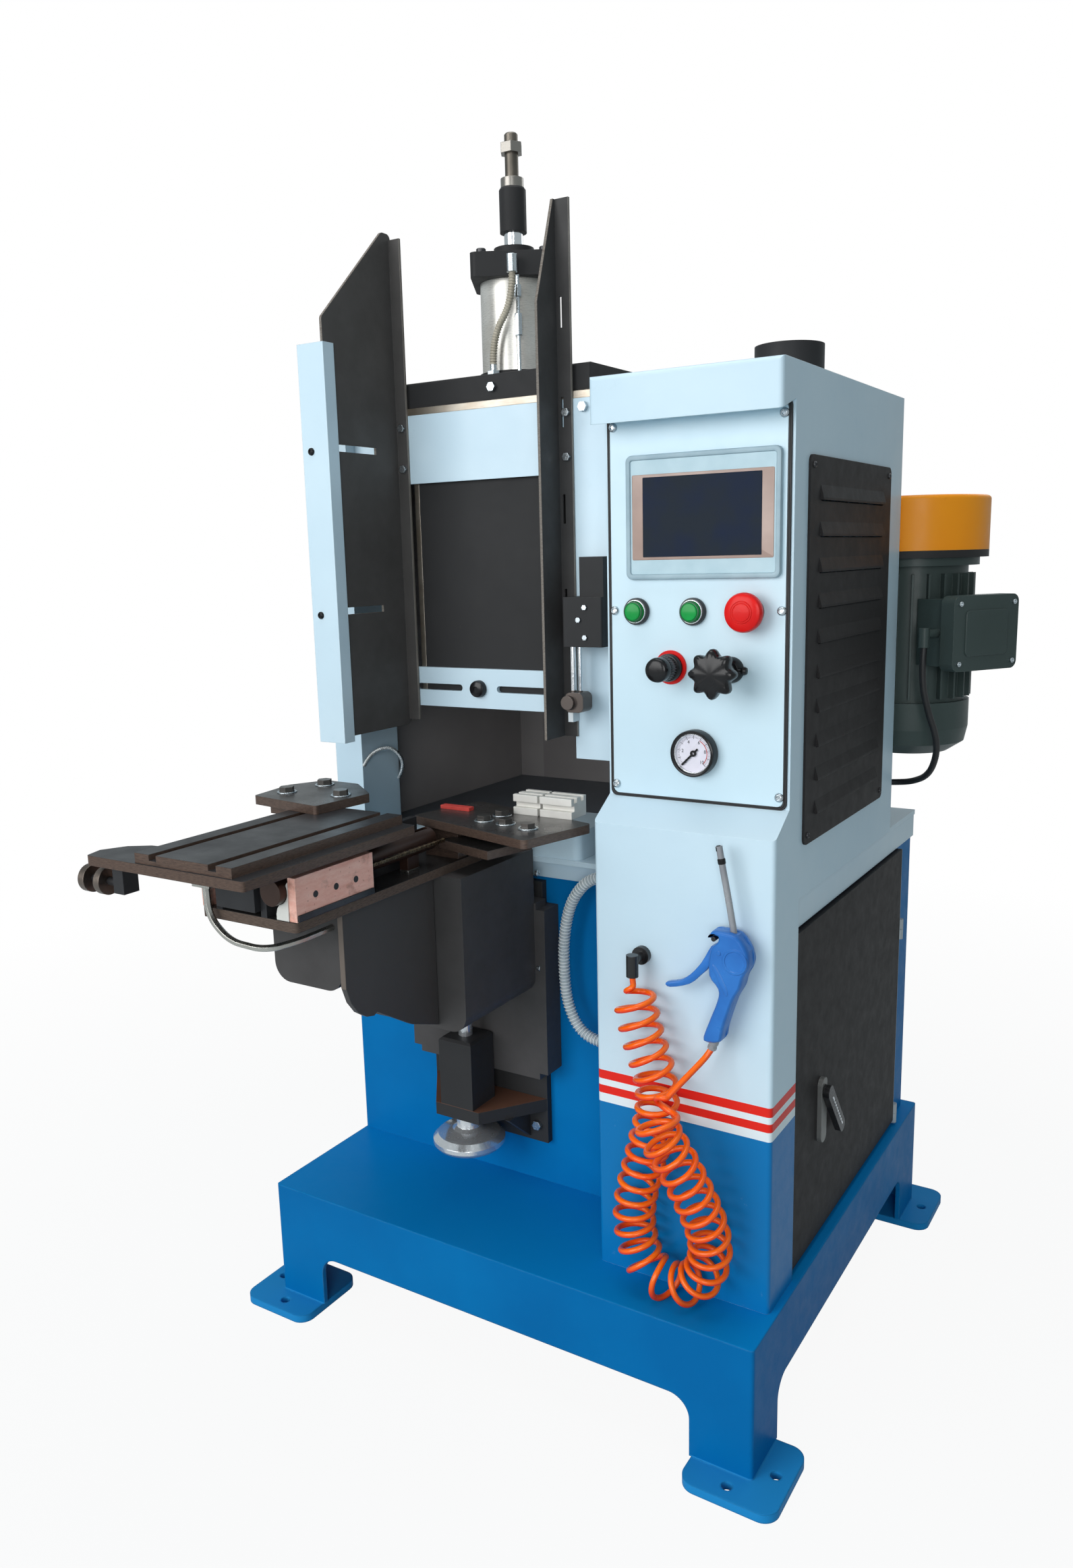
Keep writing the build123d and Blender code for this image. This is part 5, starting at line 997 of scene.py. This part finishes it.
estopHead = ((0, 0.5), (10, 0.5), (10, 7), (17, 10), (22, 14), (23.6, 18), (24, 21), (23.8, 25), (22.4, 28.2), (20, 29.6),
             (14.2, 30.4), (13.8, 29.7), (13.2, 29.7), (12.8, 30.6), (11.8, 30.7), (11.4, 30), (10.8, 30), (10.4, 30.8),
             (6, 31.2), (0, 31.3))
estopRing = ((12, 0), (17.4, 0), (17.4, 2), (16.6, 2.7), (12, 2.4))
turned("estopHead", estopHead, panelSpot("estop"), "redPlastic", "estop", "red_plastic", ("estop_button",), steps=48)
turned("estopRing", estopRing, panelSpot("estop"), "darkSteel", "frame", "dark_steel", hardware, closed=True)
regulatorRing = ((14, 0), (21.6, 0), (21.6, 2.6), (20.8, 3.6), (14, 3.6))
regulatorLobes = ((0, 4), (17.6, 4), (17.6, 11), (16.4, 13), (14.6, 13.4), (14.6, 14.6), (15, 15, 0.5), (15, 29, 0.5),
                  (14.4, 30), (14.4, 31), (15.4, 32), (15.6, 40), (14.8, 43.4), (12.6, 45.4), (8, 46.2), (0, 46.4))
turned("regulatorRing", regulatorRing, panelSpot("regulator"), "redPlastic", "frame", "red_plastic", closed=True)
turned("regulatorGrip", regulatorLobes, panelSpot("regulator"), "blackPlastic", "regulator", "black_plastic",
       ("regulator_knob",), steps=112, lobes=28)
starLobes = ((0, 12.4), (9, 12.4), (9, 16), (11, 18), (11, 22), (9.4, 24), (10.4, 27), (10.4, 46), (15, 47.4),
             (23, 48.6, 2.2), (26.4, 51.4, 3.2), (27, 55, 3.4), (27, 61, 3.4), (26, 64.6, 3.2), (23.6, 66.8, 2.6),
             (17, 67.9, 1.2), (0, 68.2))
hubParts = ((((0, 0), (16.4, 0), (16.4, 3), (15, 7), (12, 11), (0, 12)), panelSpot("star"), frontWay),
            (((0, -2), (2.4, -2), (2.4, 5), (4, 6), (5.3, 9), (4.2, 12.2), (0, 13.6)), spot(735, 112, 1031), rightWay))
turned("starGrip", starLobes, panelSpot("star"), "blackPlastic", "star", "black_plastic", ("star_knob",), steps=96, lobes=8)
addPiece("starHub", turnedMesh("starHub", hubParts, 28), "blackPlastic", "frame")

# gauge: dark case, silver ring, dial with ticks and plain numbers
gaugePlan = {"dial": 8.4, "start": 225, "sweep": 270, "numbers": 15.6, "highest": 10, "every": 2, "text": 0.0062,
             "ink": 0.00005, "ticks": 20.6, "tick": (0.5, 3.2, 0.2, 1), "tickCount": 50, "longEvery": 5, "long": 1.35,
             "short": 0.75, "arc": (18.6, 17.6), "arcFrom": 0.6, "arcSteps": 24, "arcLift": 0.00015}
gaugeAt = panelSpot("gauge")
gaugeCase = ((0, 0.2), (29, 0.2), (30, 1.2), (30, 13), (29.2, 15.2), (27.6, 16), (26.2, 15.6), (25.6, 14), (25.6, 8), (0, 8))
gaugeRing = ((24, 8.2), (25.4, 8.2), (25.4, 12.6), (24.8, 13.2), (24, 12.4))
gaugeDial = ((0, 7.6), (24.2, 7.6), (24.2, 8.3), (0, gaugePlan["dial"]))
turned("gaugeCase", gaugeCase, gaugeAt, "blackPlastic", "frame", "black_plastic", ("gauge",), steps=56)
turned("gaugeRing", gaugeRing, gaugeAt, "chrome", "frame", "bright_chrome", steps=56, closed=True)
turned("gaugeDial", gaugeDial, gaugeAt, "dialWhite", "frame", "grey_plastic", steps=56)


def dialSpot(share, reach, lift):
    angle = math.radians(gaugePlan["start"] + gaugePlan["sweep"] * share)
    return gaugeAt + Vector((math.sin(angle) * reach, -lift, math.cos(angle) * reach)) / 1000, -angle


tickShape = slabMesh("tickOne", roundRect(*gaugePlan["tick"]), ((0, 0), (0.12, 0)))
ticks = []
for i in range(gaugePlan["tickCount"] + 1):
    place, turn = dialSpot(i / gaugePlan["tickCount"], gaugePlan["ticks"], gaugePlan["dial"])
    ticks.append((place, frontWay, turn, gaugePlan["short" if i % gaugePlan["longEvery"] else "long"]))
fieldOf("gaugeTicks", tickShape, ticks, "dialInk", "frame")
bm = bmesh.new()
for number in range(0, gaugePlan["highest"] + 1, gaugePlan["every"]):
    text = bpy.data.curves.new("dialNumber", "FONT")
    text.body = str(number)
    text.size = gaugePlan["text"]
    text.extrude = gaugePlan["ink"]
    text.align_x = text.align_y = "CENTER"
    place = dialSpot(number / gaugePlan["highest"], gaugePlan["numbers"], gaugePlan["dial"] + 0.1)[0]
    mesh = readMesh(text)
    mesh.transform(Matrix.Translation(place) @ Matrix.Rotation(math.pi / 2, 4, "X"))
    bm.from_mesh(mesh)
bmesh.ops.remove_doubles(bm, verts=bm.verts, dist=1e-6)
addPiece("gaugeNumbers", meshFrom("gaugeNumbers", bm), "dialInk", "frame")
bm = bmesh.new()
last = gaugePlan["arcSteps"]
outer, inner = ([dialSpot(gaugePlan["arcFrom"] + (1 - gaugePlan["arcFrom"]) * i / last, reach, gaugePlan["dial"])[0]
                 for i in range(last + 1)] for reach in gaugePlan["arc"])
rings = [[bm.verts.new(p + frontWay * lift) for p in outer + inner[::-1]] for lift in (0, gaugePlan["arcLift"])]
skinned(bm, rings)
for i in range(last):
    for ring in rings:
        bm.faces.new((ring[i], ring[i + 1], ring[-2 - i], ring[-1 - i]))
addPiece("gaugeArc", meshFrom("gaugeArc", bm), "dialRed", "frame")
print("controls made")


# ram band's centre knob
bandKnob = {"at": (274, 223, 980), "profile": (
    (0, 0), (13, 0), (13, 6), (12, 9), (9, 10.6), (4.2, 11), (4, 9.5), (0, 9.5))}
turned("bandKnob", bandKnob["profile"], spot(*bandKnob["at"]), "blackPlastic", "ram", "black_plastic")

# white guide profile hugging the feed cylinder at the bed's front
barrel = {"x": 327.5, "z": 800, "reach": 16.7, "wall": 344.3, "low": 765.2, "ends": (-279.5, -142)}
profileLoop = [(barrel["wall"], barrel["low"]), (barrel["wall"], 812)]
for degrees in range(30, -81, -10):
    angle = math.radians(degrees)
    across, up = barrel["reach"] * math.cos(angle), barrel["reach"] * math.sin(angle)
    profileLoop.append((min(barrel["x"] + across, barrel["wall"] - 0.3), barrel["z"] + up))
profileLoop += [(327, 779), (325, 772), (325, barrel["low"])]
guideMesh = slabMesh("guideProfile", profileLoop, [(y, 0) for y in barrel["ends"]], lambda x, z, y: spot(x, y, z))
addPiece("guideProfile", guideMesh, "milledAluminium", "knee")

# dark retaining strip along the board's foot
stripPlan = {"x": 356, "y": -209, "z": 769.2, "long": 136, "high": 8, "layers": ((0, 0), (1.6, 0), (2.2, 0.6))}


def stripSpot(along, up, reach):
    return spot(stripPlan["x"] + reach, stripPlan["y"] + along, stripPlan["z"] + up)


stripMesh = slabMesh("boardStrip", roundRect(stripPlan["long"], stripPlan["high"], 1.5, 3), stripPlan["layers"], stripSpot)
addPiece("boardStrip", stripMesh, "darkSteel", "knee")

# side gusset under the bed
gussetLoop = ((-188, 750.4), (-188, 652), (-180, 630), (-167, 613), (-151, 602), (-137, 598.5), (-131, 601.5), (-61, 559),
              (-2, 537), (-2, 750.4))
gussetMesh = slabMesh("kneeGusset", gussetLoop, ((335.2, 0), (342.4, 0), (343, 0.6)), lambda y, z, x: spot(x, y, z))
addPiece("kneeGusset", gussetMesh, "gussetPaint", "knee")

# row of brown links beside the feed rail
linkPlan = {"x": 351, "y": -138, "z": 799.5, "pitch": 5.2, "drop": 0.025, "count": 30, "tilt": 0.3,
            "outline": (4.4, 8, 1.6, 3), "layers": ((-2.2, 0.5), (-1.7, 0), (1.7, 0), (2.2, 0.5))}
linkShape = slabMesh("linkOne", roundRect(*linkPlan["outline"]), linkPlan["layers"])
links = [(spot(linkPlan["x"], linkPlan["y"] + linkPlan["pitch"] * i, linkPlan["z"] - linkPlan["drop"] * i), rightWay,
          (i % 2) * linkPlan["tilt"], 1.0) for i in range(linkPlan["count"])]
fieldOf("railLinks", linkShape, links, "brassLink", "knee")

# bright grip ribs along the door's lever
ribPlan = {"pivot": (810, 271, 430), "lean": math.radians(-52.4), "first": 0.018, "pitch": 0.008, "count": 9,
           "outline": (3, 12, 1.2, 3), "layers": ((-0.3, 0), (0.8, 0), (1.2, 0.5))}
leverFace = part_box("door_lever")[1][0]
leverWay = Vector((0, math.cos(ribPlan["lean"]), math.sin(ribPlan["lean"])))
ribShape = slabMesh("ribOne", roundRect(*ribPlan["outline"]), ribPlan["layers"])
ribs = []
for i in range(ribPlan["count"]):
    place = spot(*ribPlan["pivot"]) + leverWay * (ribPlan["first"] + ribPlan["pitch"] * i)
    ribs.append((Vector((leverFace, *place[1:])), rightWay, ribPlan["lean"], 1.0))
fieldOf("leverRibs", ribShape, ribs, "chrome", "lever")
print("small pieces made")


# room, floor and light
lightPlan = {"sky": 0.2, "cool": (0.78, 0.94, 1.0), "gloss": 0.4, "key": 192.0, "top": 54.0, "fill": 60.0, "rim": 14.0,
             "floorGlow": 0.93, "floorShade": 0.55, "floorSize": 40, "fade": (0.9, 2.6)}
reach = lightPlan["floorSize"]
floorMesh = bpy.data.meshes.new("floor")
floorMesh.from_pydata([(-reach, -reach, 0), (reach, -reach, 0), (reach, reach, 0), (-reach, reach, 0)], [], [(0, 1, 2, 3)])
floor = linked("floor", floorMesh)


def seenWhite(tree):
    # the room is white where it is looked at, greyer in reflections, and cool where it lights
    rays = put(tree, "ShaderNodeLightPath").outputs
    mirrored = sums(tree, "MULTIPLY", rays["Is Glossy Ray"], lightPlan["gloss"])
    return sums(tree, "MAXIMUM", rays["Is Camera Ray"], sums(tree, "MAXIMUM", mirrored, rays["Is Transmission Ray"]))


floorMat, tree, shader = begin("floorPale")
shader.inputs["Base Color"].default_value = (*(lightPlan["floorShade"] * c for c in lightPlan["cool"]), 1)
setOn(shader, rough=0.8, shine=0.1)
glow = put(tree, "ShaderNodeEmission", {"Color": (1, 1, 1, 1), "Strength": 1.0})
away = put(tree, "ShaderNodeVectorMath", {0: objectPlace(tree)}, operation="LENGTH").outputs["Value"]
fade = spanned(tree, away, *lightPlan["fade"], lightPlan["floorGlow"], 1.0)
share = sums(tree, "MULTIPLY", seenWhite(tree), fade)
mix = put(tree, "ShaderNodeMixShader", {0: share, 1: shader.outputs[0], 2: glow.outputs[0]})
tree.links.new(mix.outputs[0], tree.nodes["Material Output"].inputs["Surface"])
floorMesh.materials.append(floorMat)

world = bpy.data.worlds.new("studio")
scene.world = world
world.use_nodes = True
tree = world.node_tree
backing = tree.nodes["Background"]
seen = seenWhite(tree)
feed(tree, backing.inputs["Color"], between(tree, seen, (*lightPlan["cool"], 1), (1, 1, 1, 1)))
feed(tree, backing.inputs["Strength"], spanned(tree, seen, 0, 1, lightPlan["sky"], 1.0))


def softLamp(name, place, aim, size, power):
    data = bpy.data.lights.new(name, "AREA")
    data.shape = "RECTANGLE"
    data.size, data.size_y = size
    data.energy = power
    lamp = linked(name, data)
    lamp.location = place
    lamp.rotation_euler = (Vector(aim) - Vector(place)).to_track_quat("-Z", "Y").to_euler()


softLamp("keyLight", (-1.7, -5.2, 2.5), (0, -0.1, 0.7), (4.0, 3.4), lightPlan["key"])
softLamp("topLight", (0, -0.4, 4.2), (0, 0, 0.8), (2.4, 2.4), lightPlan["top"])
softLamp("fillLight", (2.3, -4.4, 1.7), (0.3, 0, 0.8), (1.6, 2.2), lightPlan["fill"])
softLamp("rimLight", (0.6, 3.2, 3.0), (0, 0, 0.9), (2.0, 1.4), lightPlan["rim"])
scene.view_settings.view_transform = "Standard"
print("lights set")
